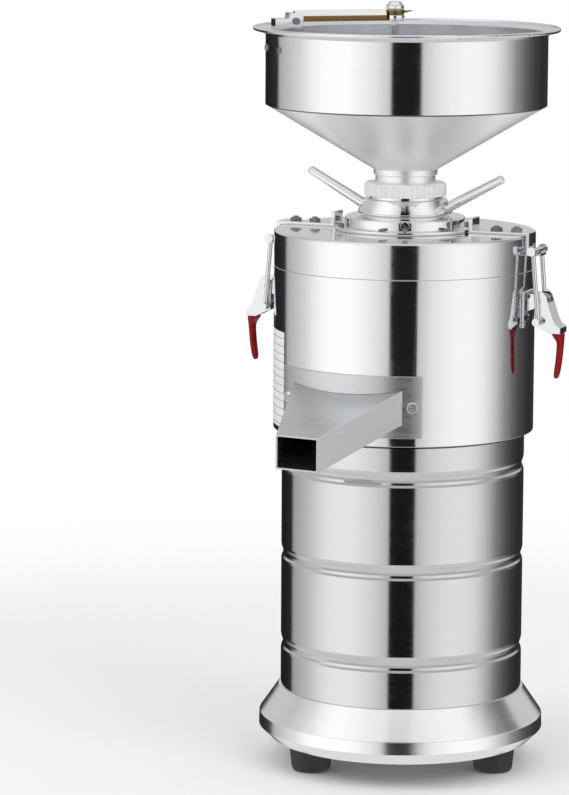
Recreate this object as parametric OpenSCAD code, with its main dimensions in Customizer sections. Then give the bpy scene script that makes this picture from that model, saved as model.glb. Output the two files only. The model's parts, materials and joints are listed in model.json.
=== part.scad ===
// Upright grinder for nut butter: a motor in a ribbed barrel drives a pair of stones in a steel
// chamber, a hopper stands on an adjusting collar above, and a chute leads out at the front.
// The origin is on the machine's axis at floor level, +Z is up and the chute points along -Y.

/* [Base] */
// Height of the rubber feet
foot_h = 23; // [19:1:28]
// Radius of a foot where it meets the base
foot_top_r = 20; // [17:0.5:21]
// Radius of a foot on the floor
foot_floor_r = 17.8; // [15:0.2:19]
// Distance of a foot's middle from the base's widest band
foot_in = 35; // [32:0.5:40]
// Radius of the recess for a foot's screw
foot_recess_r = 5.5; // [4:0.5:7]
// Outer radius of the base at its widest band
base_r = 132; // [128:1:138]
// How far the lower edge of the base draws in
base_draw = 11.5; // [9:0.5:14]
// Height of the lower taper of the base
base_taper_h = 11; // [9:0.5:14]
// Height of the upright band of the base
base_band_h = 12; // [8:0.5:16]
// Height of the cone of the base
base_cone_h = 26; // [20:1:32]
// Sheet thickness of the base
base_t = 2; // [1.5:0.1:3]

/* [Barrel] */
// Outer radius of the motor barrel
barrel_r = 112; // [110:0.5:114]
// Sheet thickness of the barrel
barrel_t = 1.5; // [1:0.1:2]
// Height of the barrel
barrel_h = 242; // [234:1:256]
// Height of the upper flank of a rolled rib
rib_high = 8; // [6:0.5:10]
// Height of the lower flank of a rolled rib
rib_low = 6.5; // [5:0.5:9]
// How far a rib is rolled in
rib_in = 2; // [1.2:0.1:2.6]
// Height of the lowest rib's deepest line over the base
rib_first = 40; // [34:1:44]
// Distance from rib to rib
rib_pitch = 85; // [78:0.5:90]

/* [Chamber] */
// Outer radius of the grinding chamber and its lid
shell_r = 120; // [118:0.5:124]
// Sheet thickness of the chamber and its lid
shell_t = 2; // [1.5:0.1:2.5]
// Height of the chamber from its lower rim to the seam with the lid
shell_h = 150; // [144:1:160]
// Height of the lid's skirt
lid_h = 33; // [30:1:38]
// Height of the chamber floor's top over the lower rim
floor_rise = 15; // [12:0.5:18]
// Thickness of the chamber floor
floor_t = 8; // [6:0.5:10]

/* [Chute] */
// How far the chute's flange reaches out beside the chute
flange_side = 19.2; // [18:0.2:22]
// Distance from the flange's end to the middle of its screw
screw_inset = 7.9; // [7:0.1:8.5]
// Height of the chute's flange
flange_h = 56; // [50:1:62]
// Height of the flange's lower edge over the chamber's lower rim
flange_lift = 8; // [5:0.5:12]
// Half of the chute's width at the chamber
chute_back = 51; // [46:1:54]
// Half of the chute's width at its mouth
chute_front = 21; // [18:1:26]
// How far the chute stands out from the chamber
chute_len = 82; // [70:1:95]
// Height of the chute's side walls
chute_h = 31; // [27:1:34]
// Drop of the chute from the chamber to its mouth
chute_drop = 28.4; // [22:0.5:34]
// Height of the chute's top plate at the chamber over the flange's lower edge
chute_lift = 39; // [36:0.5:44]
// Sheet thickness of the chute
chute_t = 1.8; // [1.2:0.1:2.2]

/* [Adjusting collar] */
// Outer radius of the hub ring on the lid
hub_r = 55; // [52:0.5:56]
// Height of the hub ring
hub_h = 13; // [11:0.5:16]
// Outer radius of the hub ring's flange
hub_flange_r = 64; // [62:0.5:65]
// Gap that shows between hub ring and collar
collar_gap = 2; // [1.5:0.1:3]
// Height of the collar
collar_h = 14; // [12:0.5:16]
// Outer radius of the collar's lower edge
collar_r = 43.1; // [42:0.1:45]
// Outer radius of the collar's sleeve in the hub ring
sleeve_r = 40; // [38.5:0.1:41]
// Radius of a handle bar in the collar
bar_r = 4.9; // [4.3:0.1:5.2]
// Radius of a handle bar at its tip
bar_tip_r = 3.8; // [3:0.1:4.2]
// Length of a handle bar
bar_len = 67; // [60:1:74]
// Angle at which the handle bars rise
bar_rise = 28; // [22:1:32]
// Angle of the handle bars about the machine's axis
bar_turn = 3.5; // [0:0.5:10]

/* [Grinding stones] */
// Radius of the grinding stones
stone_r = 70; // [66:1:74]
// Thickness of each stone
stone_h = 20; // [17:0.5:22]
// Gap between the stones as the collar stands
stone_gap = 1.5; // [1.4:0.1:2.5]
// Radius of the feed throat
throat_r = 23; // [20:0.5:24]
// Outer radius of the neck that carries the upper stone
neck_r = 34; // [32:0.2:35]
// Depth from the lid to the plate that carries the upper stone
holder_drop = 27; // [25:0.5:32]
// Number of grooves in a stone
groove_count = 8; // [6:1:12]

/* [Shaft and motor] */
// Radius of the shaft
shaft_r = 12.5; // [11.5:0.1:13.5]
// Radius of the shaft's lower end
tail_r = 10; // [9:0.1:10.8]
// Gap between the stator and the barrel's sheet
stator_gap = 20.5; // [18:0.5:24]
// Depth of the stator's ring
stator_depth = 38; // [35:0.5:41]
// Height of the stator and the rotor
stack_h = 100; // [90:1:110]

/* [Hopper] */
// Outer radius of the hopper's bowl
bowl_r = 128.7; // [124:0.5:134]
// Height of the hopper's bowl
bowl_h = 64; // [58:1:70]
// Height of the hopper's cone
cone_h = 59; // [54:1:66]
// Outer radius of the hopper's spout under the cone
spigot_r = 27.5; // [26.5:0.1:29]
// Height of the spout from the union nut to the cone
spigot_h = 12; // [10:0.5:15]
// Sheet thickness of the hopper
hopper_t = 1.6; // [1.2:0.1:2]
// How far the hopper's lip reaches out
lip_out = 9.5; // [7:0.5:12]
// How far the hopper's lip rises
lip_rise = 5; // [3:0.5:7]
// Radius of the rolled edge of the lip
roll_r = 1.9; // [1.6:0.1:2.4]
// Outer radius of the union nut
nut_r = 37.6; // [37:0.1:39]
// Height of the union nut
nut_h = 12; // [11:0.5:14]
// Number of flutes round the union nut
flute_count = 40; // [30:1:46]

/* [Feed arm] */
// Angle of the feed arm about the machine's axis
arm_turn = 226; // [216:1:236]
// Distance of the arm's pivot from the axis
pivot_at = 107.5; // [104:0.5:110]
// Height of the arm's pivot over the hopper's bowl
arm_over = 13; // [12:0.5:14]
// Rise of the arm's bar over its pivot
bar_up = 4.4; // [3.5:0.1:5]
// Thickness of the arm's bar
arm_h = 10; // [8:0.5:10.5]
// Width of the arm
arm_w = 10; // [9:0.5:11]
// Distance of the regulating rod from the axis
rod_at = 11.5; // [8:0.5:13]
// Radius of the regulating rod
rod_r = 3.25; // [2.8:0.05:3.6]
// Radius of the plug over the throat
plug_r = 12; // [9:0.5:13]
// Radius of the feed knob
knob_r = 8.5; // [7:0.5:9.5]
// Height of the feed knob
knob_h = 7; // [6:0.5:9]

/* [Latches] */
// Angle of the latches about the machine's axis
latch_turn = 7; // [4:0.5:10]
// Distance of a lever's pivot from the chamber's wall
lever_off = 13; // [12.8:0.1:14]
// Depth of a lever's pivot under the seam of the lid
lever_drop = 25.5; // [24:0.5:29]
// Depth of the bail's pin under the lever's pivot
bail_drop = 18.5; // [17:0.5:20]
// Height of the crossbar over the seam of the lid
crossbar_rise = 20; // [17:0.5:21]
// Distance of the crossbar from the chamber's wall
crossbar_off = 8; // [7.6:0.1:8.6]
// Distance of a bail rod from the middle of its latch
rod_side = 12; // [11.8:0.1:13]
// Radius of a bail rod
bail_r = 2; // [1.6:0.1:2.1]
// Sheet thickness of the lever
lever_t = 1.6; // [1.2:0.1:1.6]
// Half of the width of a catch strap
strap_half = 10; // [8.5:0.5:10.5]
// Thickness of a catch strap
strap_t = 3; // [2.5:0.1:3.4]
// Length of the coated grip
grip_len = 42; // [36:1:48]

/* [Switch and cord entry] */
// Height of the switch over the base
switch_lift = 77; // [70:1:84]
// Half of the height of the switch's frame
switch_half = 17; // [15:0.5:19]
// Height of the cord entry over the base
gland_lift = 14; // [13:0.5:16]
// Radius of the cord entry's bore
gland_bore = 4; // [3:0.5:5]

/* [Hidden] */

$fn = 64;
steel = "#c9ccd1";
bright = "#dfe2e6";
dark_steel = "#8d9197";
black = "#1b1b1d";
cast = "#aeb2b7";
white = "#f2f2ee";
red = "#a3151c";
brass = "#8a6a3a";
copper = "#b5703a";
stone = "#8f8c86";

// Small values that several pieces share
cut = 1;
run = 0.05;
play = 0.3;
head_h = 3;

// Radii that follow other sizes
foot_circle_r = base_r - foot_in;
stator_r = barrel_r - barrel_t - stator_gap;
air_gap = 0.6;
rotor_r = stator_r - stator_depth - air_gap;

// Heights of the stacked pieces
base_z = foot_h;
band_z = base_z + base_taper_h;
cone_z = band_z + base_band_h;
barrel_z = cone_z + base_cone_h;
shell_z = barrel_z + barrel_h;
seam_z = shell_z + shell_h;
lid_z = seam_z + lid_h;
hub_z = lid_z + hub_h;
collar_z = hub_z + collar_gap;
nut_gap = 2.6;
nut_z = collar_z + collar_h + nut_gap;
nut_top = nut_z + nut_h;
cone_foot_z = nut_top + spigot_h;
bowl_z = cone_foot_z + cone_h;
lip_z = bowl_z + bowl_h;
arm_z = lip_z + arm_over;
floor_z = shell_z + floor_rise;

// A revolved ring from radius r0 to r1 and from height z0 to z1
module ring(r0, r1, z0, z1) {
    rotate_extrude()
        translate([r0, z0])
            square([r1 - r0, z1 - z0]);
}

// An outline in the plane of radius and height, spread over the width from y0 to y1
module plate(points, y0, y1) {
    translate([0, y1, 0])
        rotate([90, 0, 0])
            linear_extrude(y1 - y0)
                polygon(points);
}

// A round bar across a latch or arm, from y0 to y1
module crossbar(x, z, r, y0, y1) {
    translate([x, y0, z])
        rotate([-90, 0, 0])
            cylinder(h = y1 - y0, r = r);
}

// A ring's segment on the +X side, as wide as twice half
module ring_piece(r0, r1, z0, z1, half) {
    intersection() {
        ring(r0, r1, z0, z1);
        translate([0, -half, z0 - cut])
            cube([r1 + cut, 2 * half, z1 - z0 + 2 * cut]);
    }
}

// ---- Base ----

plate_r = base_r - base_draw - base_t;
plate_t = 3;
ledge_t = 2;
ledge_in = 7;
land_in = 8;
land_out = 1.6;

module base_skirt() {
    slope = base_draw / base_taper_h;
    ledge_z = base_z + plate_t;
    color(bright)
        rotate_extrude()
            polygon([
                [base_r - base_draw, base_z],
                [base_r, band_z],
                [base_r - 0.4, cone_z],
                [barrel_r + land_out, barrel_z],
                [barrel_r - land_in, barrel_z],
                [barrel_r - land_in, barrel_z - base_t],
                [barrel_r - base_t, barrel_z - base_t],
                [base_r - base_t - 0.4, cone_z - base_t / 2],
                [base_r - base_t, band_z + base_t / 2],
                [plate_r + slope * (plate_t + ledge_t), ledge_z + ledge_t],
                [plate_r - ledge_in, ledge_z + ledge_t],
                [plate_r - ledge_in, ledge_z],
                [plate_r, ledge_z],
                [plate_r, base_z]]);
}

vent_count = 8;
vent_w = 5;

module base_plate() {
    color(dark_steel)
        difference() {
            ring(0, plate_r - run, base_z, base_z + plate_t);
            for (i = [0 : vent_count - 1])
                rotate([0, 0, 360 * (i + 0.5) / vent_count])
                    translate([foot_circle_r / 4, -vent_w / 2, base_z - cut])
                        cube([foot_circle_r / 3, vent_w, plate_t + 2 * cut]);
            for (i = [0 : 2])
                rotate([0, 0, 120 * i])
                    translate([foot_circle_r, 0, base_z - cut])
                        cylinder(h = plate_t + 2 * cut, r = screw_r + run);
        }
}

screw_r = 2.5;
recess_h = 16;
foot_head_r = foot_recess_r - 1;

module rubber_feet() {
    color(black)
        for (i = [0 : 2])
            rotate([0, 0, 120 * i])
                translate([foot_circle_r, 0, 0])
                    rotate_extrude()
                        polygon([
                            [foot_recess_r, 0],
                            [foot_floor_r - 2, 0],
                            [foot_floor_r, 2.5],
                            [foot_top_r, foot_h],
                            [screw_r + run, foot_h],
                            [screw_r + run, recess_h],
                            [foot_head_r + play, recess_h],
                            [foot_head_r + play, recess_h - head_h - 2 * play],
                            [foot_recess_r, recess_h - head_h - 2 * play]]);
}

module foot_screws() {
    color(dark_steel)
        for (i = [0 : 2])
            rotate([0, 0, 120 * i])
                translate([foot_circle_r, 0, recess_h]) {
                    translate([0, 0, -head_h])
                        cylinder(h = head_h, r = foot_head_r);
                    cylinder(h = foot_h - recess_h + plate_t + head_h, r = screw_r);
                    translate([0, 0, foot_h - recess_h + plate_t])
                        cylinder(h = head_h, r = 2 * screw_r, $fn = 6);
                }
}

// ---- Barrel ----

rib_steps = 3;
louvre_rows = 5;
louvre_h = 3.2;
louvre_w = 26;
louvre_pitch = 8;

// A rolled rib's profile in a wall of radius r, with its deepest line at height z
function rib_points(r, z) = [for (i = [-rib_steps : rib_steps])
    let (share = i / rib_steps)
        [r - rib_in * (1 + cos(180 * share)) / 2, z + share * (i < 0 ? rib_low : rib_high)]];

// One side of the barrel's sheet from the bottom to the top, with its three ribs
function barrel_side(r) = concat(
    [[r, barrel_z]],
    rib_points(r, barrel_z + rib_first),
    rib_points(r, barrel_z + rib_first + rib_pitch),
    rib_points(r, barrel_z + rib_first + 2 * rib_pitch),
    [[r, shell_z]]);

function backwards(list) = [for (i = [len(list) - 1 : -1 : 0]) list[i]];

module motor_barrel() {
    color(bright)
        difference() {
            rotate_extrude()
                polygon(concat(barrel_side(barrel_r), backwards(barrel_side(barrel_r - barrel_t))));
            for (side = [-1, 1], i = [0 : louvre_rows - 1])
                rotate([0, 0, 90 + side * 32])
                    translate([0, -louvre_w / 2, barrel_z + rib_first + 1.5 * rib_pitch
                            + (i - (louvre_rows - 1) / 2) * louvre_pitch - louvre_h / 2])
                        cube([barrel_r + 2 * barrel_t, louvre_w, louvre_h]);
            switch_hole(switch_x + run, switch_half - switch_rim + run);
            gland_hole(gland_r + run);
        }
}

// ---- Switch and cord entry, at the back ----

switch_x = 10;
switch_rim = 3;
switch_deep = 18;
switch_z = barrel_z + switch_lift;
rocker_x = 6.5;
rocker_half = switch_half - 7.4;
rocker_turn = 8;
axle_r = 1.5;
axle_y = barrel_r - 1;
gland_r = 8;
gland_in = 6;
gland_out = 15;
gland_z = barrel_z + gland_lift;

module switch_hole(half_x, half_z) {
    translate([-half_x, barrel_r - switch_deep, switch_z - half_z])
        cube([2 * half_x, 2 * switch_deep, 2 * half_z]);
}

module switch_frame() {
    pocket = norm([rocker_half, 4.6]) + play;
    color(black)
        difference() {
            union() {
                difference() {
                    translate([-switch_x - switch_rim, barrel_r - switch_rim,
                            switch_z - switch_half])
                        cube([2 * (switch_x + switch_rim), 2 * switch_rim, 2 * switch_half]);
                    ring(0, barrel_r + run, switch_z - 2 * switch_half, switch_z + 2 * switch_half);
                }
                translate([-switch_x, barrel_r - switch_deep, switch_z - switch_half + switch_rim])
                    cube([2 * switch_x, switch_deep, 2 * (switch_half - switch_rim)]);
            }
            translate([-rocker_x - play, axle_y - pocket, switch_z - pocket])
                cube([2 * (rocker_x + play), 4 * pocket, 2 * pocket]);
            translate([-switch_x + 1, axle_y, switch_z])
                rotate([0, 90, 0])
                    cylinder(h = 2 * switch_x - 2, r = axle_r + run);
        }
}

module switch_rocker() {
    color(red)
        translate([0, axle_y, switch_z])
            rotate([-rocker_turn, 0, 0]) {
                translate([-rocker_x, 0, 0])
                    rotate([90, 0, 90])
                        linear_extrude(2 * rocker_x)
                            polygon([[-4, 2 - rocker_half], [4.5, -rocker_half], [3, 0],
                                [4.5, rocker_half], [-4, rocker_half - 2]]);
                translate([-switch_x + 1 + play, 0, 0])
                    rotate([0, 90, 0])
                        cylinder(h = 2 * (switch_x - 1 - play), r = axle_r);
            }
}

module gland_hole(r) {
    translate([0, barrel_r - 3 * barrel_t, gland_z])
        rotate([-90, 0, 0])
            cylinder(h = 6 * barrel_t, r = r);
}

module cord_gland() {
    color(black)
        translate([0, 0, gland_z])
            difference() {
                union() {
                    translate([0, barrel_r - gland_in, 0])
                        rotate([-90, 0, 0])
                            cylinder(h = gland_in + 2, r = gland_r);
                    difference() {
                        translate([0, barrel_r - 2, 0])
                            rotate([-90, 0, 0])
                                cylinder(h = 7, r = gland_r + 3, $fn = 6);
                        ring(0, barrel_r + run, -2 * gland_r, 2 * gland_r);
                    }
                    translate([0, barrel_r + gland_out / 3, 0])
                        rotate([-90, 0, 0])
                            cylinder(h = 2 * gland_out / 3, r1 = gland_r, r2 = gland_bore + 1.5);
                }
                translate([0, barrel_r - gland_in - cut, 0])
                    rotate([-90, 0, 0])
                        cylinder(h = gland_in + gland_out + 2 * cut, r = gland_bore);
            }
}

// ---- Motor ----

cap_t = 8;
skirt_h = 32;
stack_lift = 58;
stack_z = barrel_z + stack_lift;
stack_top = stack_z + stack_h;
lower_cap_z = stack_z - skirt_h - cap_t;
upper_cap_z = stack_top + skirt_h;
bell_r = stator_r + 3;
bolt_r = 3.5;
bolt_at = bell_r + 1 + bolt_r + 1.5;
cap_r = bolt_at + bolt_r + 1.5;
bearing_w = 15;
bearing_wall = 13.5;
house_t = 8;
post_r = 8;

module cap_holes() {
    for (i = [0 : 3])
        rotate([0, 0, 45 + 90 * i])
            translate([bolt_at, 0, lower_cap_z - cut])
                cylinder(h = upper_cap_z - lower_cap_z + cap_t + 2 * cut, r = bolt_r + run);
}

module lower_cap() {
    bore = tail_r + run + bearing_wall;
    color(cast)
        difference() {
            rotate_extrude()
                polygon([
                    [bore, lower_cap_z - 4],
                    [bore + house_t, lower_cap_z - 4],
                    [bore + house_t, lower_cap_z],
                    [cap_r, lower_cap_z],
                    [cap_r, lower_cap_z + cap_t],
                    [bell_r, lower_cap_z + cap_t],
                    [bell_r, stack_z],
                    [bell_r - 7, stack_z],
                    [bell_r - 7, lower_cap_z + cap_t],
                    [bore + house_t, lower_cap_z + cap_t],
                    [bore + house_t, lower_cap_z - 4 + bearing_w],
                    [bore, lower_cap_z - 4 + bearing_w]]);
            cap_holes();
        }
}

module upper_cap() {
    bore = shaft_r + run + bearing_wall;
    color(cast)
        difference() {
            union() {
                rotate_extrude()
                    polygon([
                        [bore, upper_cap_z],
                        [bell_r - 7, upper_cap_z],
                        [bell_r - 7, stack_top],
                        [bell_r, stack_top],
                        [bell_r, upper_cap_z],
                        [cap_r, upper_cap_z],
                        [cap_r, upper_cap_z + cap_t],
                        [bore + house_t, upper_cap_z + cap_t],
                        [bore + house_t, upper_cap_z + bearing_w + 2],
                        [bore, upper_cap_z + bearing_w + 2]]);
                for (i = [0 : 3])
                    rotate([0, 0, 90 * i])
                        translate([stator_r - 6, 0, upper_cap_z + cap_t / 2])
                            cylinder(h = floor_z - floor_t - upper_cap_z - cap_t / 2, r = post_r);
            }
            cap_holes();
        }
}

module tie_bolts() {
    color(dark_steel)
        for (i = [0 : 3])
            rotate([0, 0, 45 + 90 * i])
                translate([bolt_at, 0, lower_cap_z - head_h]) {
                    cylinder(h = upper_cap_z + cap_t - lower_cap_z + 2 * head_h, r = bolt_r);
                    cylinder(h = head_h, r = bolt_r + 2.5, $fn = 6);
                    translate([0, 0, upper_cap_z + cap_t - lower_cap_z + head_h])
                        cylinder(h = head_h, r = bolt_r + 2.5, $fn = 6);
                }
}

module stator_core() {
    color(dark_steel)
        ring(rotor_r + air_gap, stator_r, stack_z, stack_top);
}

module stator_windings() {
    color(copper) {
        ring(rotor_r + 5, stator_r - 10, stack_top, stack_top + skirt_h - 8);
        ring(rotor_r + 5, stator_r - 10, stack_z - skirt_h + 8, stack_z);
    }
}

module bearings() {
    color(steel) {
        ring(tail_r + run, tail_r + run + bearing_wall, lower_cap_z - 4,
            lower_cap_z - 4 + bearing_w);
        ring(shaft_r + run, shaft_r + run + bearing_wall, upper_cap_z, upper_cap_z + bearing_w);
    }
}

fan_r = stator_r - 12;
fan_drop = 14;
fan_z = barrel_z - fan_drop;
fan_h = 18;
fan_blades = 7;
tail_z = fan_z - 4;
stud_r = 8;

module motor_shaft() {
    color(steel)
        rotate_extrude()
            polygon([
                [0, tail_z],
                [tail_r, tail_z],
                [tail_r, lower_cap_z + bearing_w - 4],
                [shaft_r, lower_cap_z + bearing_w - 4],
                [shaft_r, stone_z + stone_h / 2],
                [stud_r, stone_z + stone_h / 2],
                [stud_r, stone_z + stone_h + 4],
                [0, stone_z + stone_h + 4]]);
}

module rotor_core() {
    color(dark_steel)
        ring(shaft_r + run, rotor_r, stack_z, stack_top);
}

module cooling_fan() {
    color(black)
        difference() {
            union() {
                ring(tail_r + run, tail_r + 7, fan_z, fan_z + fan_h);
                ring(tail_r + 6, fan_r, fan_z, fan_z + 2);
                for (i = [0 : fan_blades - 1])
                    rotate([0, 0, 360 * i / fan_blades])
                        translate([tail_r + 6, -1.5, fan_z])
                            cube([fan_r - tail_r - 8, 3, fan_h]);
            }
            translate([0, 0, fan_z - cut])
                cylinder(h = fan_h + 2 * cut, r = tail_r + run);
        }
}

// ---- Chamber ----

seal_wall = 11;
seal_rise = 16;
seal_h = floor_t + seal_rise;
house_r = shaft_r + run + seal_wall + 6;
rim_in = 10;

module chamber_floor() {
    floor_r = shell_r - shell_t;
    rim_low = min(floor_r - rim_in, barrel_r - barrel_t - 2);
    color(cast)
        rotate_extrude()
            polygon([
                [shaft_r + run + seal_wall, floor_z - floor_t],
                [rim_low, floor_z - floor_t],
                [rim_low, shell_z],
                [floor_r, shell_z],
                [floor_r, floor_z],
                [house_r, floor_z],
                [house_r, floor_z - floor_t + seal_h],
                [shaft_r + run + seal_wall, floor_z - floor_t + seal_h]]);
}

module shaft_seal() {
    color(black)
        ring(shaft_r + run, shaft_r + run + seal_wall, floor_z - floor_t, floor_z - floor_t + seal_h);
}

module chamber_shell() {
    color(bright)
        difference() {
            ring(shell_r - shell_t, shell_r, shell_z, seam_z);
            chute_inside();
            chute_screw_holes();
            both_latches()
                rivet_places()
                    rivet_hole();
        }
}

// ---- Chute ----

flange_z = shell_z + flange_lift;
flange_top = flange_z + flange_h;
chute_z = flange_z + chute_lift;
flange_r = shell_r + chute_t;
mouth_r = shell_r + chute_len;
chute_slope = chute_drop / chute_len;
chute_root = shell_r * cos(asin(chute_back / shell_r)) - 5 * shell_t;
flange_half = asin((chute_back + flange_side) / shell_r);
chute_screw_turn = asin((chute_back + flange_side - screw_inset) / shell_r);

// A tapered, sloping block that stands along -Y, with its walls moved in by inset
module chute_block(r0, r1, inset) {
    narrow = (chute_back - chute_front) / chute_len;
    half0 = chute_back - inset - narrow * (r0 - shell_r);
    half1 = chute_back - inset - narrow * (r1 - shell_r);
    top0 = chute_z - inset - chute_slope * (r0 - shell_r);
    top1 = chute_z - inset - chute_slope * (r1 - shell_r);
    low0 = top0 - chute_h + 2 * inset;
    low1 = top1 - chute_h + 2 * inset;
    intersection() {
        translate([0, 0, flange_z - 2 * flange_h])
            linear_extrude(4 * flange_h)
                polygon([[-half0, -r0], [-half1, -r1], [half1, -r1], [half0, -r0]]);
        translate([-shell_r, 0, 0])
            rotate([90, 0, 90])
                linear_extrude(2 * shell_r)
                    polygon([[-r0, low0], [-r1, low1], [-r1, top1], [-r0, top0]]);
    }
}

module chute_inside() {
    chute_block(chute_root, mouth_r + cut, chute_t);
}

module chute_screw_holes() {
    chute_screw_places()
        translate([shell_r - 4 * shell_t, 0, 0])
            rotate([0, 90, 0])
                cylinder(h = 8 * shell_t, r = chute_screw_r + run);
}

chute_screw_r = 2;

module chute_screw_places() {
    for (side = [-1, 1])
        rotate([0, 0, -90 + side * chute_screw_turn])
            translate([0, 0, flange_z + flange_h / 2])
                children();
}

module chute() {
    color(steel)
        difference() {
            chute_block(chute_root, mouth_r, 0);
            ring(0, shell_r, shell_z, seam_z);
            chute_inside();
        }
}

module chute_flange() {
    color(steel)
        difference() {
            intersection() {
                ring(shell_r, flange_r, flange_z, flange_top);
                linear_extrude(2 * flange_top)
                    polygon([[0, 0],
                        [-2 * shell_r * sin(flange_half), -2 * shell_r * cos(flange_half)],
                        [2 * shell_r * sin(flange_half), -2 * shell_r * cos(flange_half)]]);
            }
            chute_block(chute_root, mouth_r, 0);
            chute_screw_holes();
        }
}

module chute_screws() {
    color(steel)
        chute_screw_places()
            translate([shell_r - shell_t - 2, 0, 0])
                rotate([0, 90, 0]) {
                    cylinder(h = shell_t + chute_t + 2, r = chute_screw_r);
                    translate([0, 0, shell_t + chute_t + 2])
                        cylinder(h = 2.2, r1 = 5.2, r2 = 4);
                }
}

// ---- Lid ----

lid_edge = 1.5;
hub_bore = sleeve_r + run;
lid_hole = hub_r - 4;
gasket_t = 2;
gasket_h = 8;

module lid() {
    color(bright)
        difference() {
            rotate_extrude()
                polygon([
                    [shell_r - shell_t, seam_z],
                    [shell_r, seam_z],
                    [shell_r, lid_z - lid_edge],
                    [shell_r - lid_edge, lid_z],
                    [lid_hole, lid_z],
                    [lid_hole, lid_z - shell_t],
                    [shell_r - shell_t, lid_z - shell_t]]);
            hub_screw_places()
                translate([0, 0, lid_z - 2 * shell_t])
                    cylinder(h = 4 * shell_t, r = hub_screw_r + run);
            both_latches()
                strap_bolt_places()
                    translate([0, 0, lid_z - 2 * shell_t])
                        cylinder(h = 4 * shell_t, r = screw_r + run);
        }
}

module lid_gasket() {
    color(white)
        ring(shell_r - shell_t - gasket_t, shell_r - shell_t, seam_z - gasket_h, seam_z + gasket_h);
}

hub_screw_r = 2;
hub_screw_at = (hub_r + hub_flange_r) / 2;
hub_flange_t = 3.5;
lock_turn = -62.5;

module hub_screw_places() {
    for (i = [0 : 5])
        rotate([0, 0, latch_turn + 30 + 60 * i])
            translate([hub_screw_at, 0, 0])
                children();
}

module lock_place() {
    rotate([0, 0, lock_turn])
        translate([0, 0, lid_z + hub_flange_t + (hub_h - hub_flange_t) / 2])
            rotate([0, 90, 0])
                children();
}

module hub_ring() {
    color(steel)
        difference() {
            rotate_extrude()
                polygon([
                    [hub_bore, lid_z - shell_t - 1],
                    [lid_hole - run, lid_z - shell_t - 1],
                    [lid_hole - run, lid_z],
                    [hub_flange_r, lid_z],
                    [hub_flange_r, lid_z + hub_flange_t],
                    [hub_r, lid_z + hub_flange_t],
                    [hub_r, hub_z - 1.5],
                    [hub_r - 1.5, hub_z],
                    [hub_bore, hub_z]]);
            hub_screw_places()
                translate([0, 0, lid_z - cut])
                    cylinder(h = hub_flange_t + 2 * cut, r = hub_screw_r + run);
            lock_place()
                cylinder(h = 2 * hub_r, r = hub_screw_r + run);
        }
}

module hub_screws() {
    color(dark_steel) {
        hub_screw_places()
            translate([0, 0, lid_z - shell_t - head_h]) {
                cylinder(h = shell_t + hub_flange_t + head_h, r = hub_screw_r);
                cylinder(h = head_h, r = 2 * hub_screw_r, $fn = 6);
                translate([0, 0, shell_t + hub_flange_t + head_h])
                    cylinder(h = 2.4, r = 3.2);
            }
        lock_place() {
            translate([0, 0, sleeve_r + 2])
                cylinder(h = hub_r - sleeve_r - 2, r = hub_screw_r);
            translate([0, 0, hub_r])
                cylinder(h = 3.4, r = 4.2);
        }
    }
}

guide_r = 4;
guide_at = hub_flange_r - 4;

module guide_places() {
    for (i = [0, 1])
        rotate([0, 0, latch_turn + 60 + 180 * i])
            translate([guide_at, 0, 0])
                children();
}

module guide_pins() {
    color(steel)
        guide_places() {
            translate([0, 0, holder_z - holder_t + 2])
                cylinder(h = lid_z - shell_t - holder_z + holder_t - 2, r = guide_r);
            translate([0, 0, lid_z - shell_t - head_h])
                cylinder(h = head_h, r = 1.6 * guide_r);
        }
}

// ---- Adjusting collar ----

collar_bore = neck_r + run + 0.03;
retainer_t = 3;
retainer_top = lid_z - shell_t - cut - play;
collar_top_r = nut_r;
root_r = sleeve_r - 2.5;
root_z = collar_z + 4.4;

module handle_place(i) {
    rotate([0, 0, bar_turn + 180 * i])
        translate([root_r, 0, root_z])
            rotate([0, 90 - bar_rise, 0])
                children();
}

module adjusting_collar() {
    color(bright)
        difference() {
            rotate_extrude()
                polygon([
                    [collar_bore, retainer_top - retainer_t],
                    [sleeve_r, retainer_top - retainer_t],
                    [sleeve_r, collar_z],
                    [collar_r, collar_z],
                    [collar_r, collar_z + 2.5],
                    [collar_top_r, collar_z + collar_h],
                    [collar_bore, collar_z + collar_h]]);
            for (i = [0, 1])
                handle_place(i)
                    cylinder(h = bar_len, r1 = bar_r + run, r2 = bar_tip_r + run);
        }
}

module collar_retainer() {
    color(dark_steel)
        ring(sleeve_r + run, sleeve_r + 6, retainer_top - retainer_t, retainer_top);
}

module handle_bars() {
    color(bright)
        for (i = [0, 1])
            handle_place(i) {
                cylinder(h = bar_len - 1.5, r1 = bar_r, r2 = bar_tip_r);
                translate([0, 0, bar_len - 1.5])
                    cylinder(h = 1.5, r1 = bar_tip_r, r2 = bar_tip_r - 1.2);
            }
}

// ---- Stones ----

holder_z = lid_z - holder_drop;
holder_t = 8;
neck_top = nut_top - 7.9;
upper_z = holder_z - holder_t - stone_h;
stone_z = upper_z - stone_gap - stone_h;
stone_land = 24;
stone_eye = throat_r + 1;
groove_w = 4;
groove_d = 2;
carrier_t = 12;
carrier_hub_h = 12;
stone_screw_at = 0.745 * stone_r;
stone_screw_deep = stone_h / 2;

module stone_screw_places() {
    for (i = [0 : 2])
        rotate([0, 0, 120 * i])
            translate([stone_screw_at, 0, 0])
                children();
}

module stone_holder() {
    color(steel)
        difference() {
            rotate_extrude()
                polygon([
                    [throat_r, holder_z - holder_t],
                    [stone_r, holder_z - holder_t],
                    [stone_r, holder_z],
                    [neck_r, holder_z],
                    [neck_r, neck_top],
                    [throat_r, neck_top]]);
            guide_places()
                translate([0, 0, holder_z - holder_t - cut])
                    cylinder(h = holder_t + 2 * cut, r = guide_r + 0.09);
            stone_screw_places()
                translate([0, 0, holder_z - holder_t - cut])
                    cylinder(h = holder_t + 2 * cut, r = screw_r + run);
        }
}

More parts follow.
